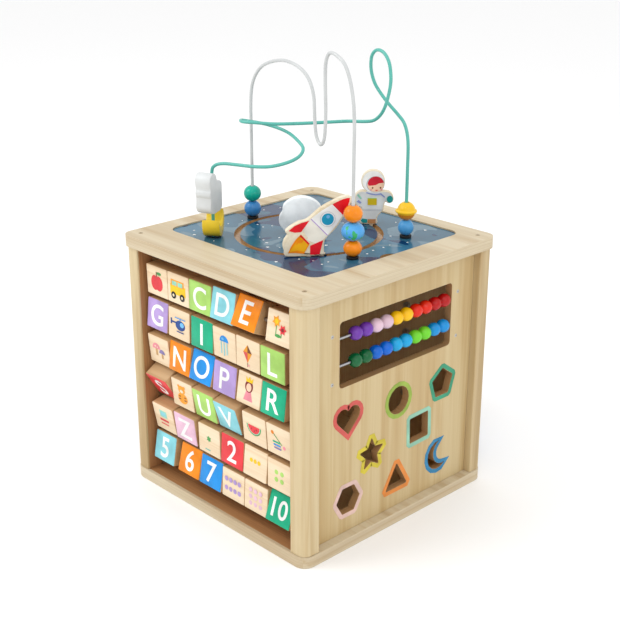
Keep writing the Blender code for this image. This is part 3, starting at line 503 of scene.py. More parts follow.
def bead_profile(radius, height, bore, steps=12):
    """A flattened ball on z = 0, with a small rim where the bore comes out."""
    low = math.asin(min(0.98, bore * 1.45 / radius))
    middle = height / 2
    stretch = middle / math.cos(low)
    outer = []
    for i in range(steps + 1):
        angle = low + (math.pi - 2 * low) * i / steps
        outer.append((radius * math.sin(angle), middle + stretch * math.cos(angle)))
    return outer + [(bore, 0.0004), (bore, height - 0.0004)]


def arc(centre, radius, start, end, steps):
    turn = (end - start) / steps
    return [
        (centre[0] + radius * math.cos(start + turn * i), centre[1] + radius * math.sin(start + turn * i))
        for i in range(steps + 1)
    ]


def ellipse(u, v, wide, tall, steps=20):
    angles = [math.tau * i / steps for i in range(steps)]
    return [(u + wide * math.cos(angle), v + tall * math.sin(angle)) for angle in angles]


def box_outline(u0, v0, u1, v1):
    return [(u0, v0), (u1, v0), (u1, v1), (u0, v1)]


def star_outline(u, v, outer, inner=0.45, turn=math.pi / 2, tips=5):
    points = []
    for i in range(2 * tips):
        radius = outer * (1 if i % 2 == 0 else inner)
        angle = turn + math.pi * i / tips
        points.append((u + radius * math.cos(angle), v + radius * math.sin(angle)))
    return points


def facing_place(origin, out):
    """An upright place at origin whose +Z axis looks along out and whose +Y axis is up."""
    out = Vector(out).normalized()
    right = Vector((0, 0, 1)).cross(out).normalized()
    place = Matrix((right, out.cross(right), out)).transposed().to_4x4()
    place.translation = origin
    return place


def compass(angle):
    return Vector((math.cos(angle), math.sin(angle), 0))


def face_loops(node, out):
    """The outlines of a CAD node's outermost flat face along out, as lists of points in the row's frame."""
    out = Vector(out)
    mesh = NODES[node].data
    mesh.calc_loop_triangles()
    reach = max(vertex.co.dot(out) for vertex in mesh.vertices)
    key_point, steps = {}, {}
    for triangle in mesh.loop_triangles:
        corners = [mesh.vertices[i].co for i in triangle.vertices]
        if min(corner.dot(out) for corner in corners) < reach - 0.00002:
            continue
        keys = [tuple(round(c * 1e5) for c in corner) for corner in corners]
        key_point.update(zip(keys, corners))
        for start, end in zip(keys, keys[1:] + keys[:1]):
            if start != end:
                steps[(start, end)] = True
    ahead = {start: end for start, end in steps if (end, start) not in steps}
    loops = []
    while ahead:
        start, following = ahead.popitem()
        loop = [start]
        while following != start and following in ahead:
            loop.append(following)
            following = ahead.pop(following)
        loops.append([Vector(key_point[key]) for key in loop])
    return loops


def catmull_rom(before, start, end, after, t):
    """The point at t, from 0 to 1, between start and end on a smooth curve."""
    return 0.5 * (
        2 * start + (end - before) * t + (2 * before - 5 * start + 4 * end - after) * t ** 2
        + (3 * start - before - 3 * end + after) * t ** 3
    )


def smoothed(points, samples):
    """A closed smooth curve through (u, v) points."""
    route = [Vector(point) for point in points]
    count = len(route)
    curve = []
    for i in range(count):
        before, start, end, after = (route[(i + k) % count] for k in (-1, 0, 1, 2))
        curve += [tuple(catmull_rom(before, start, end, after, step / samples)) for step in range(samples)]
    return curve


def inset_loop(points, distance, limit=2.0):
    """A closed (u, v) outline moved outward by distance, or inward if it is negative."""
    turn = 1 if signed_area(points) > 0 else -1
    moved = []
    count = len(points)
    for i, point in enumerate(points):
        here = Vector(point)
        back = (here - Vector(points[i - 1])).normalized()
        ahead = (Vector(points[(i + 1) % count]) - here).normalized()
        middle = back + ahead
        if middle.length < 1e-6:
            middle = ahead
        middle.normalize()
        normal = Vector((middle.y, -middle.x)) * turn
        edge_normal = Vector((ahead.y, -ahead.x)) * turn
        stretch = min(limit, 1 / max(0.2, normal.dot(edge_normal)))
        moved.append(tuple(here + normal * distance * stretch))
    return moved


# ---------------------------------------------------------------- letters and pictures
def text_mesh(text, size, bold):
    curve = bpy.data.curves.new("letter_" + text, "FONT")
    curve.body = text
    curve.size = size
    curve.offset = bold
    curve.extrude = PRINT / 2
    curve.align_x = "CENTER"
    curve.align_y = "CENTER"
    curve.resolution_u = 6
    holder = bpy.data.objects.new("letter_" + text, curve)
    bpy.context.scene.collection.objects.link(holder)
    bpy.context.view_layer.update()
    mesh = bpy.data.meshes.new_from_object(holder.evaluated_get(bpy.context.evaluated_depsgraph_get()))
    bpy.data.objects.remove(holder)
    mesh.materials.clear()
    us = [vertex.co.x for vertex in mesh.vertices]
    vs = [vertex.co.y for vertex in mesh.vertices]
    mesh.transform(Matrix.Translation((-(min(us) + max(us)) / 2, -(min(vs) + max(vs)) / 2, 0)))
    return mesh


def dots(colour, places, radius):
    return [(colour, ellipse(u, v, radius, radius, 14)) for u, v in places]


# Simple pictures in millimetres from the middle of a block's face: (ink, outline), painted in order.
PICTURES_MM = {
    "apple": [
        ("red", ellipse(-2.6, -1.5, 5.2, 6.6)), ("red", ellipse(2.6, -1.5, 5.2, 6.6)),
        ("brown", box_outline(-0.6, 4, 0.6, 8.5)), ("green", ellipse(3.4, 7.4, 3.0, 1.4)),
    ],
    "bus": [
        ("yellow", box_outline(-10, -5, 10, 3.5)), ("amber", box_outline(-9, 2, 8, 7.5)),
        ("mint", box_outline(-7.4, 2.6, -1.2, 6.3)), ("mint", box_outline(0.2, 2.6, 6.4, 6.3)),
        ("black", ellipse(-5.6, -6, 3.1, 3.1)), ("black", ellipse(5.6, -6, 3.1, 3.1)),
        ("cream", ellipse(-5.6, -6, 1.3, 1.3, 12)), ("cream", ellipse(5.6, -6, 1.3, 1.3, 12)),
    ],
    "flowers": [
        ("green", box_outline(-3.4, -7, -2.5, 2)), ("green", box_outline(2.6, -7, 3.5, -2)),
        ("green", ellipse(-0.5, -6.0, 3.2, 1.3)), ("amber", star_outline(-3.2, 4.8, 4.8, 0.6, 0.3, 6)),
        ("yellow", ellipse(-3.2, 4.8, 2.0, 2.0, 14)), ("red", star_outline(4.2, -0.4, 4.2, 0.6, 0.1, 6)),
        ("maroon", ellipse(4.2, -0.4, 1.5, 1.5, 14)),
    ],
    "helicopter": [
        ("navy", ellipse(2.2, -0.6, 6.4, 4.4)), ("sky", ellipse(4.4, 0.4, 2.6, 2.2)),
        ("navy", box_outline(-9.5, 0.2, -3, 1.7)), ("navy", box_outline(-10.4, -1.2, -8.6, 3.8)),
        ("blue", box_outline(-4.8, 5.0, 9.0, 5.8)), ("blue", box_outline(1.6, 3.4, 2.6, 5.4)),
        ("navy", box_outline(-2.2, -6.6, 7.0, -5.7)),
    ],
    "jellyfish": [
        ("blue", arc((0, 2.5), 5.4, 0, math.pi, 14)), ("sky", ellipse(-1.6, 4.8, 1.6, 1.2, 12)),
        ("aqua", box_outline(-4, -8, -2.8, 2.2)), ("aqua", box_outline(-0.6, -9.5, 0.6, 2.2)),
        ("aqua", box_outline(2.8, -8, 4, 2.2)),
    ],
    "kite": [
        ("amber", [(0, 8), (5, 1.5), (0, -7), (-5, 1.5)]), ("brown", [(0, 8), (5, 1.5), (0, 1.5)]),
        ("coral", [(0, -7), (-5, 1.5), (0, 1.5)]), ("brown", box_outline(-0.3, -10.5, 0.3, -7)),
        ("rose", [(0, -9), (2, -8), (2, -10)]),
    ],
    "mushrooms": [
        ("tan", box_outline(-4.8, -5, -1.8, 2)), ("rose", arc((-3.2, 1.2), 5.4, 0, math.pi, 14)),
        ("tan", box_outline(3.0, -6.5, 5.4, -1)), ("mauve", arc((4.2, -1.8), 4.0, 0, math.pi, 12)),
        ("cream", ellipse(-4.4, 3.6, 1.0, 0.8, 10)), ("cream", ellipse(-1.4, 3.2, 0.8, 0.7, 10)),
    ],
    "queen": [
        ("rose", [(-5.4, -9), (5.4, -9), (2.4, 0), (-2.4, 0)]), ("maroon", ellipse(0, 2.8, 4.6, 5.0)),
        ("skin", ellipse(0, 2.0, 3.0, 3.4)),
        ("yellow", [(-3.6, 6.2), (3.6, 6.2), (4.2, 10.4), (1.8, 8.2), (0, 11), (-1.8, 8.2), (-4.2, 10.4)]),
    ],
    "tiger": [
        ("amber", ellipse(0, -3.5, 6.4, 5.2)), ("amber", ellipse(-0.4, 4.4, 4.6, 4.0)),
        ("amber", ellipse(-4.0, 7.4, 1.5, 1.5, 12)), ("amber", ellipse(3.2, 7.4, 1.5, 1.5, 12)),
        ("cream", ellipse(-0.4, 3.2, 2.2, 1.6)), ("brown", box_outline(-5.0, -2.4, -2.2, -1.5)),
        ("brown", box_outline(2.2, -2.4, 5.0, -1.5)), ("brown", box_outline(-5.4, -5.0, -2.4, -4.1)),
        ("brown", box_outline(2.4, -5.0, 5.4, -4.1)),
    ],
    "melon": [
        ("green", arc((0, 3.5), 8.6, math.pi, math.tau, 16)),
        ("mint", arc((0, 3.5), 7.6, math.pi, math.tau, 16)),
        ("red", arc((0, 3.5), 6.9, math.pi, math.tau, 16)), ("maroon", ellipse(-2.6, 0.6, 0.5, 0.9, 8)),
        ("maroon", ellipse(0.4, -0.8, 0.5, 0.9, 8)), ("maroon", ellipse(3.0, 0.8, 0.5, 0.9, 8)),
    ],
    "xylophone": [
        ("orange", ellipse(-6.5, 6.5, 1.7, 1.7, 12)), ("rose", ellipse(6.2, -3.4, 1.7, 1.7, 12)),
        ("green", [(-5.4, 5.4), (-4.8, 6.0), (4.2, -1.6), (3.6, -2.2)]),
        ("emerald", box_outline(-6.5, -1.6, 1.5, -0.2)),
        ("blue", box_outline(-5.8, -4.2, 2.2, -2.8)), ("mauve", box_outline(-5.1, -6.8, 2.9, -5.4)),
    ],
    "jar": [
        ("mint", box_outline(-5.0, 1.0, 5.0, 8.0)), ("aqua", box_outline(-3.4, 2.4, 3.4, 6.6)),
        ("red", box_outline(-6.0, -3.0, 6.0, -0.8)), ("coral", box_outline(-5.2, -6.4, 5.2, -5.0)),
    ],
    "one": [
        ("green", star_outline(0, 1.5, 3.2, 0.6, math.pi / 2, 6)), ("teal", box_outline(-5, -9.4, 1.5, -8.4)),
    ],
    "three": dots("yellow", [(-4.6, 1.8), (0, 1.8), (4.6, 1.8)], 1.9),
    "four": dots("lime", [(-3.2, 3.2), (3.2, 3.2), (-3.2, -3.2), (3.2, -3.2)], 2.1),
    "eight": dots("lilac", [(u, v) for v in (-4.2, 4.2) for u in (-8.1, -2.7, 2.7, 8.1)], 2.2),
    "nine": dots("pink", [(u, v) for v in (-6, 0, 6) for u in (-6, 0, 6)], 2.0),
    "star": [("yellow", star_outline(0, 0, 7.5, 0.5))],
    "moon": [("amber", arc((0, 0), 7, 0.9, 5.4, 14) + arc((3.0, 0), 5.6, 4.9, 1.4, 12))],
}

# What each block shows in front: a letter or number with its colour, or a picture's name.
BLOCK_FACES = (
    ("apple", "bus", ("C", "lime"), ("D", "aqua"), ("E", "orange"), "flowers"),
    (("G", "lilac"), "helicopter", ("I", "emerald"), "jellyfish", "kite", ("L", "lime")),
    ("mushrooms", ("N", "orange"), ("O", "blue"), ("P", "lilac"), "queen", ("R", "emerald")),
    (("S", "red"), "tiger", ("U", "lime"), ("V", "aqua"), "melon", "xylophone"),
    ("jar", ("Z", "pink"), "one", ("2", "red"), "three", "four"),
    (("5", "aqua"), ("6", "orange"), ("7", "blue"), "eight", "nine", ("10", "emerald")),
)
# What the picture blocks show behind.
PICTURE_BACKS = {
    "apple": ("A", "red"), "bus": ("B", "blue"), "flowers": ("F", "lilac"), "helicopter": ("H", "orange"),
    "jellyfish": ("J", "pink"), "kite": ("K", "red"), "mushrooms": ("M", "aqua"), "queen": ("Q", "pink"),
    "tiger": ("T", "blue"), "melon": ("W", "emerald"), "xylophone": ("X", "orange"), "jar": ("Y", "lime"),
    "one": ("1", "blue"), "three": ("3", "lime"), "four": ("4", "lilac"), "eight": ("8", "orange"),
    "nine": ("9", "red"),
}
# Each block's left edge in millimetres and its tilt in degrees, bottom edge outward, as in the CAD.
BLOCK_ROWS_MM = (
    ((-118.2, -1), (-80.3, 0), (-42.4, 2), (-4.5, 10), (33.4, 25), (84, 9)),
    ((-120.5, 6), (-81.5, 2), (-41.2, 2), (-3, -2), (34.9, 0), (73.2, 0)),
    ((-120.5, -6), (-82.5, 6), (-43.5, 15), (-4.5, 7), (35.5, 9), (73.5, 7)),
    ((-120.8, -32), (-80, -6), (-41, -10), (-2.2, -17), (43, -4), (81.5, -4)),
    ((-117, -11), (-77.5, -7), (-34.5, -1), (5, 4), (43.5, 6), (82, 1)),
    ((-118, 10), (-71, 14), (-33, 10), (5.5, 3), (43.5, 3), (82, 18)),
)
BLOCK_SIZE = Vector((0.0375, 0.020, 0.035))
BLOCK_FACE_DEPTH = 0.0006     # faces this close to a block's front or back take its paint
LETTER_SIZE = 0.0345
LETTER_BOLD = 0.0004
PAIR_SCALE = 0.86             # two characters are printed a little smaller than one
PICTURE_SCALE = 1.35 * MM
ROW_ROD_RADIUS = 0.002
ROW_ROD_CHAMFER = 0.0003


def block_mesh():
    work = bmesh.new()
    bmesh.ops.create_cube(work, size=1.0)
    bmesh.ops.scale(work, vec=BLOCK_SIZE, verts=work.verts)
    bmesh.ops.bevel(work, geom=work.edges[:], offset=0.0014, segments=3, profile=0.5, affect="EDGES")
    mesh = bpy.data.meshes.new("block")
    work.to_mesh(mesh)
    work.free()
    return mesh


def print_face(piece, place, face):
    """Prints a letter or a picture on a block's face."""
    if isinstance(face, str):
        for layer, (colour, outline) in enumerate(PICTURES_MM[face], start=1):
            points = [(u * PICTURE_SCALE, v * PICTURE_SCALE) for u, v in outline]
            piece.add_flat(points, place, ink(colour), layer * PRINT * 0.6)
        return
    text = face[0]
    mesh = text_mesh(text, LETTER_SIZE * (PAIR_SCALE if len(text) > 1 else 1), LETTER_BOLD)
    piece.add_mesh(mesh, place @ Matrix.Translation((0, 0, PRINT / 2)), ink("white"))
    bpy.data.meshes.remove(mesh)


def build_letter_block(mesh, name, centre, tilt, front, back):
    """A block with its front and back printed; its unprinted sides are wood coloured darker as painted shade."""
    piece = Piece(name)
    place = Matrix.Translation(centre) @ Matrix.Rotation(-tilt, 4, "X")
    added = piece.add_mesh(mesh, place, WOODS["shaded_block_side"], smooth=True)
    half = BLOCK_SIZE.y / 2
    turn = place.to_3x3()
    faces = {-1: front, 1: back}
    for face in added:
        local = turn.inverted() @ (face.calc_center_median() - centre)
        side = -1 if local.y < 0 else 1
        if abs(local.y) > half - BLOCK_FACE_DEPTH:
            plain = isinstance(faces[side], str)
            face.material_index = piece.slot_of(ink("wood" if plain else faces[side][1]))
    for side, shown in faces.items():
        out = turn @ Vector((0, side, 0))
        right = turn @ Vector((1, 0, 0))  # backs read upright once the block is flipped
        axes = Matrix((right, out.cross(right), out)).transposed().to_4x4()
        axes.translation = centre + out * half
        print_face(piece, axes, shown)
    return piece


def row_rod_mesh(length):
    """A rod with chamfered ends, standing on z = 0."""
    radius, chamfer = ROW_ROD_RADIUS, ROW_ROD_CHAMFER
    end = radius - chamfer
    profile = [(0, length), (end, length), (radius, length - chamfer), (radius, chamfer), (end, 0), (0, 0)]
    return lathe_mesh("rod", profile, 20)


def build_letter_rows():
    mesh = block_mesh()
    for row, (blocks, faces) in enumerate(zip(BLOCK_ROWS_MM, BLOCK_FACES), start=1):
        node = f"letter_row_{row}"
        axis = Vector(JOINTS[f"row_{row}_spin"]["pos_m"])
        for column, ((left, tilt), front) in enumerate(zip(blocks, faces), start=1):
            back = PICTURE_BACKS[front] if isinstance(front, str) else ("star", "moon")[column % 2]
            centre = axis + Vector((left * MM + BLOCK_SIZE.x / 2, 0, 0))
            name = f"letter_block_{row}_{column}"
            piece = build_letter_block(mesh, name, centre, math.radians(tilt), front, back)
            piece.finish(f"row_{row}", (node,) if column == 1 else (), "wood_blocks")
        low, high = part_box(node)
        turn = Matrix.Translation((low.x, axis.y, axis.z)) @ Matrix.Rotation(math.pi / 2, 4, "Y")
        rod = turned_piece(f"letter_rod_{row}", row_rod_mesh(high.x - low.x), turn, STEEL)
        rod.finish(f"row_{row}", (), "steel")


# ---------------------------------------------------------------- cube body
def build_body_looks():
    for node in ("post_front", "post_right", "post_back", "post_left"):
        dress(node, WOODS["post"])
    for node in ("sorter_panel", "gear_panel", "track_panel"):
        dress(node, WOODS["wall"])
    dress("alphabet_back_panel", WOODS["inner"])
    for node in ("base_plate", "top_frame"):
        dress(node, WOODS["level"])
    dress("top_panel", sky_panel("printed_sky"))
    for node in ("abacus_rod_upper", "abacus_rod_lower"):
        dress(node, STEEL)


SCREW_INSET = 0.0163          # from the frame's edges to the corner screws
SCREW_DOME = 0.0004
CROSS_HALF = (0.0013, 0.00022)
CROSS_TURN = 0.5
WINDOW_SCREW_SCALE = 0.8


def screw_mesh():
    """The shallow dome of a screw's head."""
    return lathe_mesh("head", [
        (0, SCREW_DOME), (0.0017, 0.00035), (0.0024, 0.0002), (0.0026, 0.00002), (0.0026, -0.00005),
        (0, -0.00005),
    ], 24)


def screw_places():
    """Each screw's name, place, scale and metal: in the top frame, in the base and beside the window."""
    inset = TOP_HIGH.x - SCREW_INSET
    corners = [(x * inset, y * inset) for x in (-1, 1) for y in (-1, 1)]
    window = [(y, z) for y in (-0.0985, 0.0985) for z in (0.195, 0.248)]
    sunk = Matrix.Rotation(math.pi, 4, "X") @ Matrix.Translation((0, 0, -SCREW_DOME))
    for i, (x, y) in enumerate(corners, start=1):
        yield f"top_screw_{i}", Matrix.Translation((x, y, TOP_HIGH.z)), 1.0, BRONZE
    for i, (x, y) in enumerate(corners, start=1):
        yield f"base_screw_{i}", Matrix.Translation((x, y, 0)) @ sunk, 1.0, BRONZE
    for i, (y, z) in enumerate(window, start=1):
        place = facing_place(Vector((WALL_HIGH.x, y, z)), (1, 0, 0))
        yield f"window_screw_{i}", place, WINDOW_SCREW_SCALE, ZINC


def build_screws():
    """Screw heads, each with a dark cross just above its dome as painted shade in its slots."""
    head = screw_mesh()
    half_long, half_wide = CROSS_HALF
    bar = box_outline(-half_long, -half_wide, half_long, half_wide)
    for name, place, scale, metal in screw_places():
        piece = turned_piece(name, head, place @ Matrix.Scale(scale, 4), metal)
        for turn in (CROSS_TURN, CROSS_TURN + math.pi / 2):
            cross = [tuple(Matrix.Rotation(turn, 2) @ Vector(point)) for point in bar]
            scaled = [(u * scale, v * scale) for u, v in cross]
            # painted shade: a brown cross stands for the shade in the screw's slots
            piece.add_flat(scaled, place, ink("brown"), (SCREW_DOME + 0.00002) * scale)
        piece.finish("root", (), "steel")


HOLE_PAINTS = (
    (0.78, 0.33, 0.30), (0.58, 0.68, 0.27), (0.21, 0.58, 0.44), (0.81, 0.74, 0.22), (0.56, 0.76, 0.66),
    (0.85, 0.72, 0.68), (0.86, 0.52, 0.22), (0.16, 0.49, 0.66),
)
HOLE_NAMES = ("heart", "circle", "pentagon", "star", "square", "hexagon", "triangle", "crescent")
HOLE_WIDEST = 0.06            # the window and the wall's own outline are wider than this
HOLE_ROW_PITCH = 0.048        # the shape holes stand in rows about this far apart
HOLE_BAND_WIDTH = 0.0052


def band_rows(piece, place, inner, outer):
    """A painted band's four rows of corners: inner foot, inner top, outer top and outer foot."""
    lines = ((inner, BAND_FOOT), (inner, BAND_TOP), (outer, BAND_TOP), (outer, BAND_FOOT))
    return [[piece.work.verts.new(place @ Vector((u, v, height))) for u, v in line] for line, height in lines]


def wall_holes():
    """The outlines of the sorter wall's shape holes, from the top row down and from left to right."""
    holes = []
    for loop in face_loops("sorter_panel", (1, 0, 0)):
        points = [(point.y, point.z) for point in loop]
        us, vs = zip(*points)
        if max(us) - min(us) < HOLE_WIDEST:
            row = round((min(vs) + max(vs)) / 2 / HOLE_ROW_PITCH)
            holes.append((-row, (min(us) + max(us)) / 2, points))
    holes.sort(key=lambda hole: hole[:2])
    return [points for _, _, points in holes]


def build_hole_rings():
    """A painted band round each shape hole; the holes' outlines are read from the wall itself."""
    place = Matrix(((0, 0, 1), (1, 0, 0), (0, 1, 0))).to_4x4()
    place.translation = (WALL_HIGH.x, 0, 0)
    for name, colour, points in zip(HOLE_NAMES, HOLE_PAINTS, wall_holes()):
        if signed_area(points) < 0:
            points = points[::-1]
        piece = Piece("painted_ring_" + name)
        inner, outer = inset_loop(points, 0.0002, 1.2), inset_loop(points, HOLE_BAND_WIDTH, 1.7)
        low, inner_top, outer_top, outer_low = band_rows(piece, place, inner, outer)
        slot = piece.slot_of(paint("hole_band_" + name, colour, 0.4, 0.2))
        for first, second in ((inner_top, outer_top), (outer_top, outer_low), (low, inner_top)):
            for i in range(len(points)):
                j = (i + 1) % len(points)
                face = piece.work.faces.new((first[i], second[i], second[j], first[j]))
                face.material_index = slot
        bmesh.ops.recalc_face_normals(piece.work, faces=piece.work.faces)
        piece.finish("root", (), "wood_natural")


# ---------------------------------------------------------------- beads
# The colours of each rod's ten beads, which come in pairs.
BEAD_PAIRS = {
    "upper": ("maroon", "bright_red", "bead_yellow", "bead_pink", "bead_purple"),
    "lower": ("bead_azure", "bead_lime", "bead_sky", "bead_blue", "bead_green"),
}
BEAD_INKS = {
    "maroon": (0.70, 0.03, 0.03), "bright_red": (0.86, 0.14, 0.03), "bead_yellow": (0.95, 0.74, 0.02),
    "bead_pink": (0.86, 0.74, 0.80), "bead_purple": (0.44, 0.22, 0.66), "bead_blue": (0.01, 0.40, 0.82),
    "bead_lime": (0.42, 0.80, 0.16), "bead_sky": (0.06, 0.64, 0.86), "bead_green": (0.01, 0.38, 0.20),
    "bead_azure": (0.03, 0.56, 0.84),
}
ABACUS_BORE = 0.0019
ABACUS_SWELL = 1.02           # the smooth beads are this much wider than the faceted ones they replace
MAZE_BORE = 0.0024


def build_abacus_beads():
    glaze = {name: paint("glaze_" + name, colour, 0.16, 0.30, 0.05) for name, colour in BEAD_INKS.items()}
    for level, pairs in BEAD_PAIRS.items():
        colours = [colour for colour in pairs for _ in range(2)]
        for i, colour in enumerate(colours, start=1):
            node = f"abacus_{level}_bead_{i}"
            low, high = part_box(node)
            radius = (high.x - low.x) / 2 * ABACUS_SWELL
            shape = lathe_mesh("bead", bead_profile(radius, high.y - low.y, ABACUS_BORE), 32)
            middle = (low + high) / 2
            place = Matrix.Translation((middle.x, high.y, middle.z)) @ Matrix.Rotation(math.pi / 2, 4, "X")
            turned_piece("smooth_" + node, shape, place, glaze[colour]).finish_node(node)


def ringed_profile(radius, height):
    """A ball with a flat ring round its middle."""
    ball = bead_profile(0.0102, height, MAZE_BORE, 14)
    outer, bore = ball[:15], ball[15:]
    middle = height / 2
    above = [point for point in outer if point[1] > middle + 0.0016]
    below = [point for point in outer if point[1] < middle - 0.0016]
    edge = ((0.88, 0.0015), (0.97, 0.0010), (1, 0), (0.97, -0.0010), (0.88, -0.0015))
    ring = [(radius * share, middle + rise) for share, rise in edge]
    return above + ring + below + bore


def build_maze_beads():
    orange = paint("maze_orange", (0.95, 0.54, 0.04), 0.2, 0.25)
    ringed_low, ringed_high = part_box("maze_bead_ringed")
    # painted shade: below this height the ringed bead is coloured darker orange-brown, for the shade under its
    # ring
    switch = ringed_low.z + (ringed_high.z - ringed_low.z) * 0.36
    looks = {
        "maze_bead_blue": paint("maze_blue", (0.22, 0.50, 0.74), 0.2, 0.25),
        "maze_bead_green": paint("maze_green", (0.02, 0.64, 0.56), 0.2, 0.25),
        "maze_bead_orange_lower": orange,
        "maze_bead_planet": planet_paint("maze_planet"),
        "maze_bead_small_blue": paint("maze_small_blue", (0.28, 0.58, 0.80), 0.25, 0.25),
        "maze_bead_orange_upper": orange,
        "maze_bead_ringed": banded_paint("maze_ringed", (0.80, 0.50, 0.10), switch, (0.95, 0.76, 0.12)),
    }
    for node, look in looks.items():
        low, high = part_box(node)
        radius, height = (high.x - low.x) / 2, high.z - low.z
        if node == "maze_bead_ringed":
            shape = lathe_mesh("ringed", ringed_profile(radius, height), 36)
        else:
            shape = lathe_mesh("bead", bead_profile(radius, height, MAZE_BORE), 36)
        middle = (low + high) / 2
        place = Matrix.Translation((middle.x, middle.y, low.z))
        turned_piece("smooth_" + node, shape, place, look).finish_node(node)


# ---------------------------------------------------------------- wires
STACK_ONE, STACK_TWO = (-0.095, 0.0), (0.092, -0.024)
STACK_THREE, STACK_FOUR = (0.080, 0.073), (-0.072, -0.0785)
WIRE_RADIUS = 0.0019
COLLAR_LIFT = 0.0002
# Distance along the line between its two feet, and height.
WHITE_ROUTE = (
    (0, 0.2978), (0, 0.340), (0, 0.400), (0, 0.440), (0.0045, 0.463), (0.018, 0.480), (0.038, 0.490),
    (0.066, 0.4955), (0.093, 0.492), (0.1105, 0.482), (0.1195, 0.465), (0.1215, 0.440), (0.1245, 0.423),
    (0.132, 0.4155), (0.1385, 0.424), (0.1405, 0.450), (0.1395, 0.490), (0.1415, 0.506),
    (0.148, 0.5135), (0.160, 0.5115), (0.1735, 0.503), (0.1835, 0.482), (0.1885, 0.452),
    (0.1885, 0.400), (0.1885, 0.340), (0.1885, 0.2978),
)
TEAL_ROUTE = (
    (0.080, 0.073, 0.2978), (0.080, 0.073, 0.340), (0.080, 0.073, 0.380), (0.0795, 0.073, 0.412),
    (0.0745, 0.0725, 0.430), (0.064, 0.0725, 0.4395), (0.051, 0.072, 0.449), (0.040, 0.071, 0.459),
    (0.031, 0.070, 0.470), (0.0265, 0.069, 0.484), (0.029, 0.067, 0.4985), (0.037, 0.066, 0.506),
    (0.049, 0.064, 0.505), (0.059, 0.062, 0.496), (0.064, 0.060, 0.482), (0.064, 0.059, 0.469),
    (0.059, 0.059, 0.452), (0.0515, 0.060, 0.440), (0.041, 0.0605, 0.4315), (0.028, 0.060, 0.428),
    (0.004, 0.0545, 0.4255), (-0.012, 0.036, 0.4245), (-0.029, 0.013, 0.424), (-0.046, -0.0085, 0.424),
    (-0.065, -0.019, 0.424), (-0.081, -0.0245, 0.4235), (-0.089, -0.020, 0.4235), (-0.083, -0.0125, 0.422),
    (-0.069, -0.0035, 0.420), (-0.053, 0.0025, 0.417), (-0.034, 0.003, 0.4135), (-0.014, -0.0015, 0.408),
    (-0.004, -0.0045, 0.4025), (0.0015, -0.015, 0.397), (0.0015, -0.031, 0.393), (-0.006, -0.049, 0.390),
    (-0.022, -0.059, 0.3885), (-0.043, -0.066, 0.388), (-0.060, -0.0725, 0.3875),
    (-0.069, -0.077, 0.384), (-0.072, -0.0785, 0.375), (-0.072, -0.0785, 0.340), (-0.072, -0.0785, 0.2978),
)


def smooth_route(points, samples=5):
    """An open smooth curve through points, which it ends on."""
    route = [Vector(point) for point in points]
    ends = [2 * route[0] - route[1]] + route + [2 * route[-1] - route[-2]]
    curve = []
    for before, start, end, after in zip(ends, ends[1:], ends[2:], ends[3:]):
        curve += [catmull_rom(before, start, end, after, step / samples) for step in range(samples)]
    return curve + [route[-1]]


def build_wire(name, route, colour, feet):
    """A coated wire bent along a route, and a black collar round each foot that is given."""
    curve = bpy.data.curves.new(name, "CURVE")
    curve.dimensions = "3D"
    curve.bevel_depth = WIRE_RADIUS
    curve.bevel_resolution = 5
    curve.use_fill_caps = True
    points = smooth_route(route)
    spline = curve.splines.new("POLY")
    spline.points.add(len(points) - 1)
    for target, point in zip(spline.points, points):
        target.co = (*point, 1)
    wire = bpy.data.objects.new(name + "_bent", curve)
    bpy.context.scene.collection.objects.link(wire)
    curve.materials.append(paint("coating_" + name, colour, 0.30, 0.5, 0.03))
    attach(wire, "panel")
    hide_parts(name)
    rubber = paint("collar_black", (0.10, 0.10, 0.11), 0.55, 0.0, 0.1)
    profile = [
        (0.0062, 0.0028), (0.0066, 0.0023), (0.0066, 0.0005), (0.0062, 0.0), (WIRE_RADIUS, 0.0),
        (WIRE_RADIUS, 0.0028),
    ]
    for i, (x, y) in enumerate(feet, start=1):
        place = Matrix.Translation((x, y, PANEL_TOP + COLLAR_LIFT))
        collar = turned_piece(f"{name}_collar_{i}", lathe_mesh("collar", profile, 32), place, rubber)
        collar.finish("panel", (), name)


def build_wires():
    start, end = Vector(STACK_ONE), Vector(STACK_TWO)
    step = (end - start).normalized()
    stretch = (end - start).length / WHITE_ROUTE[-1][0]
    white = [(*(start + step * distance * stretch), height) for distance, height in WHITE_ROUTE]
    build_wire("wire_white", white, (0.76, 0.77, 0.77), (STACK_ONE, STACK_TWO))
    build_wire("wire_teal", TEAL_ROUTE, (0.33, 0.68, 0.63), (STACK_THREE,))


# ---------------------------------------------------------------- cut-out pieces
CLOUD_FACING = math.radians(22)
MOON_FACING = math.radians(-140)


def plate_piece(name, node, facing, look, bevel, samples):
    """A smooth cut-out from a CAD plate's own outline."""
    out = compass(facing)
    low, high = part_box(node)
    origin = (low + high) / 2
    origin.z = low.z
    place = facing_place(origin, out)
    inverse = place.inverted()
    local = [inverse @ point for point in max(face_loops(node, out), key=len)]
    front = local[0].z
    rear = min((inverse @ vertex.co).z for vertex in NODES[node].data.vertices)
    points = smoothed([(point.x, point.y) for point in local], samples)
    piece = Piece(name)
    piece.add_prism(points, place, rear, front, look, bevel)
    return piece


def build_cloud_and_moon():
    white = paint("cloud_white", (0.81, 0.82, 0.82), 0.4, 0.2, 0.03)
    plate_piece("cloud_cutout", "cloud_bead", CLOUD_FACING, white, 0.0012, 2).finish_node("cloud_bead")
    yellow = paint("moon_yellow", (0.90, 0.77, 0.16), 0.3, 0.4, 0.06)
    plate_piece("moon_cutout", "moon_bead", MOON_FACING, yellow, 0.0010, 1).finish_node("moon_bead")


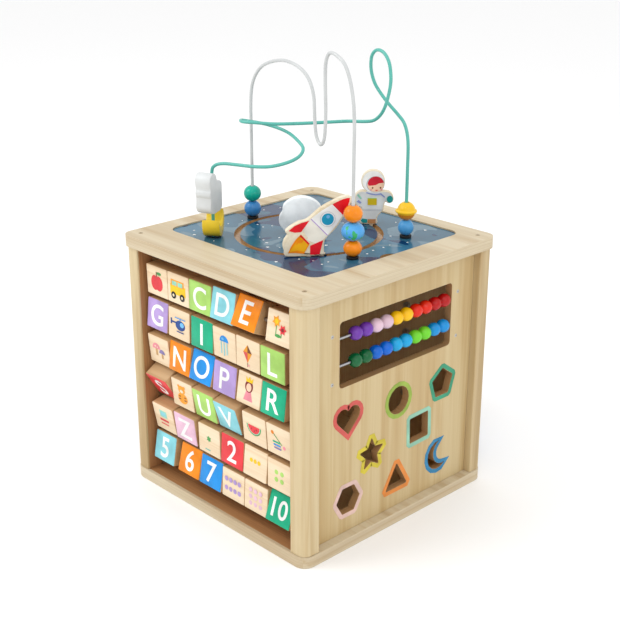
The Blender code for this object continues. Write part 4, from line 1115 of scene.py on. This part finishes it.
def add_peg(piece, node, look):
    """The round peg under a figure, down to the lowest point of its node."""
    x, y, radius = PEGS[node]
    profile = [(0, PEG_TALL), (radius, PEG_TALL), (radius, PEG_CHAMFER), (radius - PEG_CHAMFER, 0), (0, 0)]
    place = Matrix.Translation((x, y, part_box(node)[0].z))
    piece.add_mesh(lathe_mesh("peg", profile, 24), place, look, smooth=True)


def ring_point(angle):
    return (RING.x + GROOVE_RADIUS * math.cos(angle), RING.y + GROOVE_RADIUS * math.sin(angle))


ROCKET_ANGLE = math.radians(-44)
ROCKET_FACING = math.radians(-35)
ASTRONAUT_ANGLE = math.radians(74)
ASTRONAUT_FACING = math.radians(-43.8)
ROCKET_CLIMB = math.radians(43.3)
ROCKET_WAIST_MM = (10.9, 31.5)
# Each figure's peg: its x and y, and its radius.
PEGS = {
    "rocket": (*ring_point(ROCKET_ANGLE), 0.0028),
    "astronaut": (*ring_point(ASTRONAUT_ANGLE), 0.0028),
    "puff_cloud": (RING.x, RING.y, 0.002),
}
PEG_TALL = 0.012
PEG_CHAMFER = 0.0005
FIGURE_BASE = PANEL_TOP + 0.0006
FIGURE_LAYER = PRINT * 0.4    # rise of one printed layer of a figure over the one below it


def figure_faces(node, facing, thickness):
    """Front and rear places of a figure, with the peg's line as their origin, as in the CAD."""
    out = compass(facing)
    spot = Vector((PEGS[node][0], PEGS[node][1], FIGURE_BASE))
    return facing_place(spot + out * thickness / 2, out), facing_place(spot - out * thickness / 2, -out)


def figure_plate(name, node, facing, thickness, look, bevel=0.0009, samples=4):
    """The figure's bevelled plate, the two places that its prints lie on, and its outline."""
    front, rear = figure_faces(node, facing, thickness)
    inverse = front.inverted()
    local = [inverse @ point for point in max(face_loops(node, compass(facing)), key=len)]
    points = smoothed([(point.x, point.y) for point in local], samples)
    piece = Piece(name)
    piece.add_prism(points, front, -thickness, 0.0, look, bevel)
    return piece, (front, rear), points


def print_figure(piece, places, layers):
    """Prints layers of (ink, outline in metres) on both faces, mirrored on the rear so that edges match."""
    for place, mirror in zip(places, (1, -1)):
        for layer, (colour, outline) in enumerate(layers, start=1):
            shape = [(mirror * u, v) for u, v in outline]
            if signed_area(shape) < 0:
                shape.reverse()
            piece.add_flat(shape, place, ink(colour), layer * FIGURE_LAYER)


# The rocket's print is given along and across its hull from the waist. These are stations along the hull
# with half the printed width there.
ROCKET_HALF_MM = (
    (44.5, 0.0), (42.0, 2.2), (37.0, 4.9), (31.5, 6.8), (26.7, 8.2), (14.0, 11.4), (0.0, 13.0), (-16.0, 12.4),
)


def rocket_half(a):
    """Half the printed hull's width, a millimetres along from the waist."""
    for (a1, b1), (a0, b0) in zip(ROCKET_HALF_MM, ROCKET_HALF_MM[1:]):
        if a0 <= a <= a1:
            return b0 + (b1 - b0) * (a - a0) / (a1 - a0)
    return 0.0


def hull_strip(start, end, steps=8):
    """The printed hull between two stations along it."""
    stations = [start + (end - start) * i / steps for i in range(steps + 1)]
    upper = [(a, rocket_half(a)) for a in stations]
    lower = [(a, -b) for a, b in reversed(upper) if b > 0.01]
    return upper + lower


def climbed(points):
    """Points given from the peg, right and up, turned into the hull's own directions."""
    cos, sin = math.cos(ROCKET_CLIMB), math.sin(ROCKET_CLIMB)
    moved = [(u - ROCKET_WAIST_MM[0], v - ROCKET_WAIST_MM[1]) for u, v in points]
    return [(u * cos + v * sin, v * cos - u * sin) for u, v in moved]


ROCKET_PRINT_MM = (
    ("hull", hull_strip(-19, 0)), ("white", hull_strip(0, 26.7)),
    ("lilac", hull_strip(-0.5, 0.5, 2)), ("crimson", hull_strip(26.7, 44.4)),
    ("crimson", [(-2.4, 12.7), (-10.0, 17.0), (-17.6, 19.9), (-25.7, 20.5), (-22.4, 14.4), (-17.2, 10.0)]),
    ("crimson", [(-6.7, -13.4), (-20.9, -7.8)] + climbed([(1.1, 1.4), (11.4, 1.6), (12.6, 6.8)])),
    ("orange", [(-19.0, 8.4), (-27.0, 8.2), (-36.0, 6.2), (-43.0, 3.0), (-38.0, -1.6), (-31.6, -9.6),
                (-19.6, -6.0)]),
    ("flame", [(-19.4, 6.0), (-28.0, 5.6), (-41.0, 3.0), (-34.0, -1.6), (-29.6, -8.4), (-20.0, -4.6)]),
    ("orange", [(-23.0, 5.2), (-27.4, 5.6), (-31.0, 3.4), (-27.6, 3.2), (-25.2, 0.6), (-21.6, 1.2)]),
    ("crimson", box_outline(-21.4, -5.4, -19.6, 8.2)),
    ("grey", ellipse(12.3, 0, 8.2, 8.2, 28)), ("white", ellipse(12.3, 0, 7.8, 7.8, 28)),
    ("window_blue", ellipse(12.3, 0, 6.5, 6.5, 28)), ("sky", ellipse(14.4, 1.8, 1.9, 1.9, 16)),
)


def build_rocket():
    look = WOODS["cutout"]
    piece, places, _ = figure_plate("rocket_cutout", "rocket", ROCKET_FACING, 0.0075, look)
    cos, sin = math.cos(ROCKET_CLIMB), math.sin(ROCKET_CLIMB)
    u, v = ROCKET_WAIST_MM
    print_figure(piece, places, [
        (colour, [((u + a * cos - b * sin) * MM, (v + a * sin + b * cos) * MM) for a, b in outline])
        for colour, outline in ROCKET_PRINT_MM
    ])
    add_peg(piece, "rocket", look)
    piece.finish_node("rocket")


ASTRONAUT_PRINT_MM = (
    ("white", ellipse(1.9, 50.2, 12.5, 12.5, 32)), ("grey", ellipse(4.4, 47.2, 10.4, 9.5, 32)),
    ("skin", ellipse(4.7, 46.8, 9.6, 8.7, 28)),
    ("hair", arc((4.8, 47.2), 9.3, math.radians(12), math.radians(176), 18)
     + [(-3.4, 45.6), (1.0, 45.8), (4.8, 46.4), (8.4, 48.4), (11.6, 48.8)]),
    ("brown", ellipse(1.2, 43.0, 0.95, 1.15, 14)), ("brown", ellipse(10.2, 43.2, 0.95, 1.15, 14)),
    ("rose", ellipse(-0.6, 40.8, 1.3, 0.8, 12)), ("rose", ellipse(11.4, 41.0, 1.3, 0.8, 12)),
    ("coral", arc((5.7, 41.4), 1.8, math.radians(200), math.radians(340), 8)),
    ("collar", [(-6.4, 37.2), (-1.0, 35.2), (5.0, 34.4), (10.6, 35.0), (15.0, 31.4), (15.6, 32.6),
                (11.0, 37.0), (5.0, 36.0), (-1.0, 36.8), (-5.6, 38.2)]),
    ("olive", box_outline(-4.3, 22.8, 6.2, 30.2)), ("lime", box_outline(-4.3, 30.2, 6.2, 31.2)),
    ("grey", [(-9.4, 17.4), (-9.0, 16.6), (12.6, 16.6), (13.2, 17.4)]),
    ("mint", [(-16.6, 34.6), (-14.8, 36.0), (-11.0, 31.0), (-12.4, 29.6)]),
    ("collar", [(-16.8, 27.0), (-14.8, 29.2), (-11.2, 26.0), (-13.0, 24.4)]),
    ("glove", ellipse(21.2, 29.8, 3.6, 4.1, 20)),
    ("glove", [(-11.8, 4.6), (-9.6, 1.6), (-4.6, 1.8), (-4.4, 6.0), (-9.8, 7.0)]),
    ("foot", box_outline(-3.9, 1.2, 5.4, 6.1)),
)


def build_astronaut():
    look = WOODS["cutout"]
    piece, places, points = figure_plate("astronaut_cutout", "astronaut", ASTRONAUT_FACING, 0.008, look)
    suit = ("suit", inset_loop(points, -0.0013, 1.3))
    print_figure(piece, places, [suit] + [
        (colour, [(u * MM, v * MM) for u, v in outline]) for colour, outline in ASTRONAUT_PRINT_MM
    ])
    add_peg(piece, "astronaut", look)
    piece.finish_node("astronaut")


def build_puff():
    look = ink("puff")
    piece = figure_plate("puff_cutout", "puff_cloud", ASTRONAUT_FACING, 0.010, look, 0.001, 2)[0]
    add_peg(piece, "puff_cloud", look)
    piece.finish_node("puff_cloud")


# ---------------------------------------------------------------- printed sky
STAR_COUNT = 62
STAR_SIZES = (0.0009, 0.0012, 0.0012, 0.0017, 0.0026)
SMALLEST_POINTED = 0.0016     # smaller stars are printed as dots
SKY_MARGIN = 0.008
NOTCH_Y = 0.0095


def build_sky_print():
    """Small printed stars and dots, clear of the groove, the finger notches and the wire feet."""
    scatter = random.Random(7)
    low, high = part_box("top_panel")
    place = Matrix.Translation((0, 0, PANEL_TOP))
    piece = Piece("printed_stars")
    feet = (STACK_ONE, STACK_TWO, STACK_THREE, STACK_FOUR)
    placed = []
    while len(placed) < STAR_COUNT:
        u = scatter.uniform(low.x + SKY_MARGIN, high.x - SKY_MARGIN)
        v = scatter.uniform(low.y + SKY_MARGIN, high.y - SKY_MARGIN)
        size = scatter.choice(STAR_SIZES)
        turn = scatter.uniform(0, math.tau)
        groove = abs(math.hypot(u - RING.x, v - RING.y) - GROOVE_RADIUS)
        near_foot = min(math.hypot(u - x, v - y) for x, y in feet)
        notch = abs(v - NOTCH_Y) < 0.016 and (u > high.x - 0.014 or u < low.x + 0.014)
        crowded = any(math.hypot(u - a, v - b) < 0.010 for a, b in placed)
        if groove < 0.0068 or near_foot < 0.010 or notch or crowded:
            continue
        placed.append((u, v))
        if size > SMALLEST_POINTED:
            outline = star_outline(u, v, size, 0.42, turn)
        else:
            outline = ellipse(u, v, size, size, 10)
        piece.add_flat(outline, place, ink("white"), PRINT)
    piece.finish("panel", (), "wood_blue")


# ---------------------------------------------------------------- gears and track
GEAR_INKS = {"gear_large": "blue", "gear_middle": "yellow", "gear_small": "red"}
GEAR_BORE = 0.0040
TRACK_RADIUS = 0.088
TRACK_ENDS = (math.radians(24), math.radians(156))
# The painted band beside the slot, as distances from the slot's middle line.
TRACK_BAND = (0.0050, 0.0101)


def build_gears():
    for node, colour in GEAR_INKS.items():
        low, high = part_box(node)
        pivot = Vector(JOINTS[node + "_spin"]["pos_m"])
        place = facing_place(Vector((pivot.x, high.y, pivot.z)), (0, 1, 0))
        inverse = place.inverted()
        outer_loop = max(face_loops(node, (0, 1, 0)), key=len)
        outline = [((inverse @ point).x, (inverse @ point).y) for point in outer_loop]
        piece = Piece(node + "_cutout")
        gear_plate(piece, outline, place, high.y - low.y, ink(colour))
        if node == "gear_large":
            print_gear_stars(piece, place, max(math.hypot(u, v) for u, v in outline) * 0.62)
        piece.finish_node(node)
        build_axle(node.replace("gear", "gear_axle"), pivot)


def print_gear_stars(piece, place, distance, count=6):
    """Round white dots with a star in each, evenly round the gear's axle."""
    for i in range(count):
        angle = math.tau * i / count
        centre = (distance * math.cos(angle), distance * math.sin(angle))
        piece.add_flat(ellipse(*centre, 0.0075, 0.0075, 28), place, ink("white"), PRINT)
        piece.add_flat(star_outline(*centre, 0.0052, 0.45), place, ink("yellow"), 2 * PRINT)


def build_axle(axle, pivot):
    """A bolt through the gear, with a nut behind the wall and a black six-sided mark on its head as painted shade
    in its socket.
    """
    low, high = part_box(axle)
    length = high.y - low.y
    head, shaft, nut = 0.0068, 0.0035, 0.005
    profile = [
        (0, length), (head * 0.72, length), (head * 0.93, length - 0.0006), (head, length - 0.0016),
        (head, length - 0.0022), (shaft, length - 0.0022), (shaft, 0.003), (nut, 0.003), (nut, 0.0006),
        (nut - 0.0006, 0), (0, 0),
    ]
    turn = Matrix.Translation((pivot.x, low.y, pivot.z)) @ Matrix.Rotation(-math.pi / 2, 4, "X")
    bolt = turned_piece(axle + "_bolt", lathe_mesh("bolt", profile, 36), turn, ZINC)
    face = facing_place(Vector((pivot.x, high.y, pivot.z)), (0, 1, 0))
    # painted shade: a black hexagon stands for the shade in the bolt's socket
    bolt.add_flat(ellipse(0, 0, 0.0028, 0.0028, 6), face, ink("black"), PRINT * 0.5)
    bolt.finish_node(axle, "root")


def gear_plate(piece, outline, place, thickness, look):
    """A bevelled gear with a bore for its axle."""
    work = bmesh.new()
    bore = ellipse(0, 0, GEAR_BORE, GEAR_BORE, len(outline))
    start = min(range(len(outline)), key=lambda i: math.atan2(outline[i][1], outline[i][0]) % math.tau)
    ordered = outline[start:] + outline[:start]
    if signed_area(ordered) < 0:
        ordered = [ordered[0]] + ordered[:0:-1]
    rings = []
    for points, height in ((bore, 0.0), (ordered, 0.0), (ordered, -thickness), (bore, -thickness)):
        rings.append([work.verts.new((u, v, height)) for u, v in points])
    for first, second in zip(rings, rings[1:] + rings[:1]):
        for i in range(len(first)):
            j = (i + 1) % len(first)
            work.faces.new((first[i], first[j], second[j], second[i]))
    bmesh.ops.recalc_face_normals(work, faces=work.faces)
    rims = []
    for ring in (rings[1], rings[2]):
        for i, vertex in enumerate(ring):
            following = ring[(i + 1) % len(ring)]
            rims += [edge for edge in vertex.link_edges if edge.other_vert(vertex) == following]
    bmesh.ops.bevel(work, geom=rims, offset=0.0006, segments=2, profile=0.5, affect="EDGES")
    mesh = bpy.data.meshes.new("gear")
    work.to_mesh(mesh)
    work.free()
    piece.add_mesh(mesh, place, look)
    bpy.data.meshes.remove(mesh)


def build_slider():
    """The slider's knob with a star on its face, its stem through the slot and its button behind."""
    low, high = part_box("track_slider")
    centre = (low + high) / 2
    length = high.x - low.x
    knob, stem, button = 0.0145, 0.0038, 0.009
    profile = [
        (0, length), (knob - 0.0050, length), (knob - 0.0024, length - 0.0006),
        (knob - 0.0006, length - 0.0024), (knob, length - 0.0050), (knob, length - 0.0085),
        (knob - 0.0006, length - 0.0104), (knob - 0.0022, length - 0.0115), (stem, length - 0.0115),
        (stem, 0.003), (button, 0.003), (button, 0.0006), (button - 0.0006, 0), (0, 0),
    ]
    turn = Matrix.Translation((high.x, centre.y, centre.z)) @ Matrix.Rotation(-math.pi / 2, 4, "Y")
    piece = turned_piece("track_slider_knob", lathe_mesh("knob", profile, 40), turn, ink("red"))
    face = facing_place(Vector((low.x, centre.y, centre.z)), (-1, 0, 0))
    piece.add_flat(star_outline(0, 0, 0.0072, 0.46), face, ink("yellow"), PRINT)
    piece.finish_node("track_slider")


def build_track_band():
    """A painted band along both sides of the arc slot and round its ends."""
    pivot = Vector(JOINTS["track_slider_swing"]["pos_m"])
    wall = facing_place(Vector((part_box("track_panel")[0].x, pivot.y, pivot.z)), (-1, 0, 0))
    band = Piece("painted_track_band")
    slot = band.slot_of(ink("aqua"))
    for side in (-1, 1):
        radii = [TRACK_RADIUS + side * reach for reach in TRACK_BAND]
        inner, outer = (arc((0, 0), radius, *TRACK_ENDS, 40) for radius in radii)
        add_ribbon(band, wall, inner, outer, slot)
    for angle, sweep in zip(TRACK_ENDS, (-math.pi, math.pi)):
        centre = (TRACK_RADIUS * math.cos(angle), TRACK_RADIUS * math.sin(angle))
        inner, outer = (arc(centre, reach, angle, angle + sweep, 12) for reach in TRACK_BAND)
        add_ribbon(band, wall, inner, outer, slot)
    bmesh.ops.recalc_face_normals(band.work, faces=band.work.faces)
    band.finish("root", (), "wood_natural")


def add_ribbon(piece, place, inner, outer, slot):
    """A flat band between two open rows of points, with sides and ends so that it is a closed strip."""
    rows = band_rows(piece, place, inner, outer)
    for first, second in zip(rows, rows[1:] + rows[:1]):
        for i in range(len(first) - 1):
            face = piece.work.faces.new((first[i], first[i + 1], second[i + 1], second[i]))
            face.material_index = slot
    for end in (0, -1):
        face = piece.work.faces.new([row[end] for row in rows])
        face.material_index = slot


# ---------------------------------------------------------------- studio
def build_studio():
    bpy.ops.mesh.primitive_plane_add(size=14.0, location=(0, 0, -0.0002))
    floor = bpy.context.object
    floor.name = "studio_floor"
    material, _, shader = new_material("studio_floor")
    shader.inputs["Base Color"].default_value = (0.95, 0.95, 0.95, 1)
    shader.inputs["Roughness"].default_value = 0.9
    floor.data.materials.append(material)
    world = bpy.data.worlds.new("studio")
    world.use_nodes = True
    background = world.node_tree.nodes["Background"]
    background.inputs["Color"].default_value = (1.0, 1.0, 1.0, 1)
    background.inputs["Strength"].default_value = 1.0
    bpy.context.scene.world = world
    add_light("key", (-1.1, -1.6, 1.9), (0.0, 0.0, 0.2), 1.6, 20)
    add_light("side", (2.2, -0.4, 1.3), (0.0, 0.0, 0.2), 1.6, 7)
    add_light("top", (0.2, 0.4, 2.4), (0.0, 0.0, 0.3), 1.8, 4)
    add_light("glint", (0.9, -1.1, 2.0), (0.0, 0.0, 0.2), 0.28, 3)
    bpy.context.scene.view_settings.view_transform = "Standard"
    bpy.context.scene.view_settings.look = "None"


def add_light(name, location, target, size, power):
    light = bpy.data.lights.new(name, "AREA")
    light.shape = "DISK"
    light.size = size
    light.energy = power
    lamp = bpy.data.objects.new(name, light)
    bpy.context.scene.collection.objects.link(lamp)
    lamp.location = location
    lamp.rotation_euler = (Vector(target) - Vector(location)).to_track_quat("-Z", "Y").to_euler()


def build_camera():
    azimuth, elevation = math.radians(46.20), math.radians(20.83)
    camera = bpy.data.cameras.new("photo_view")
    camera.lens = 68.3
    camera.sensor_width = 36.0
    camera.clip_start = 0.05
    holder = bpy.data.objects.new("photo_view", camera)
    bpy.context.scene.collection.objects.link(holder)
    holder.location = (0.9132, -0.8737, 0.6947)
    back = Vector((
        math.sin(azimuth) * math.cos(elevation), -math.cos(azimuth) * math.cos(elevation),
        math.sin(elevation),
    ))
    holder.rotation_euler = (-back).to_track_quat("-Z", "Y").to_euler()
    bpy.context.scene.camera = holder


build_camera()
build_studio()
build_body_looks()
build_screws()
build_hole_rings()
build_letter_rows()
build_abacus_beads()
build_maze_beads()
build_wires()
build_cloud_and_moon()
build_rocket()
build_astronaut()
build_puff()
build_sky_print()
build_gears()
build_slider()
build_track_band()

bpy.context.view_layer.update()
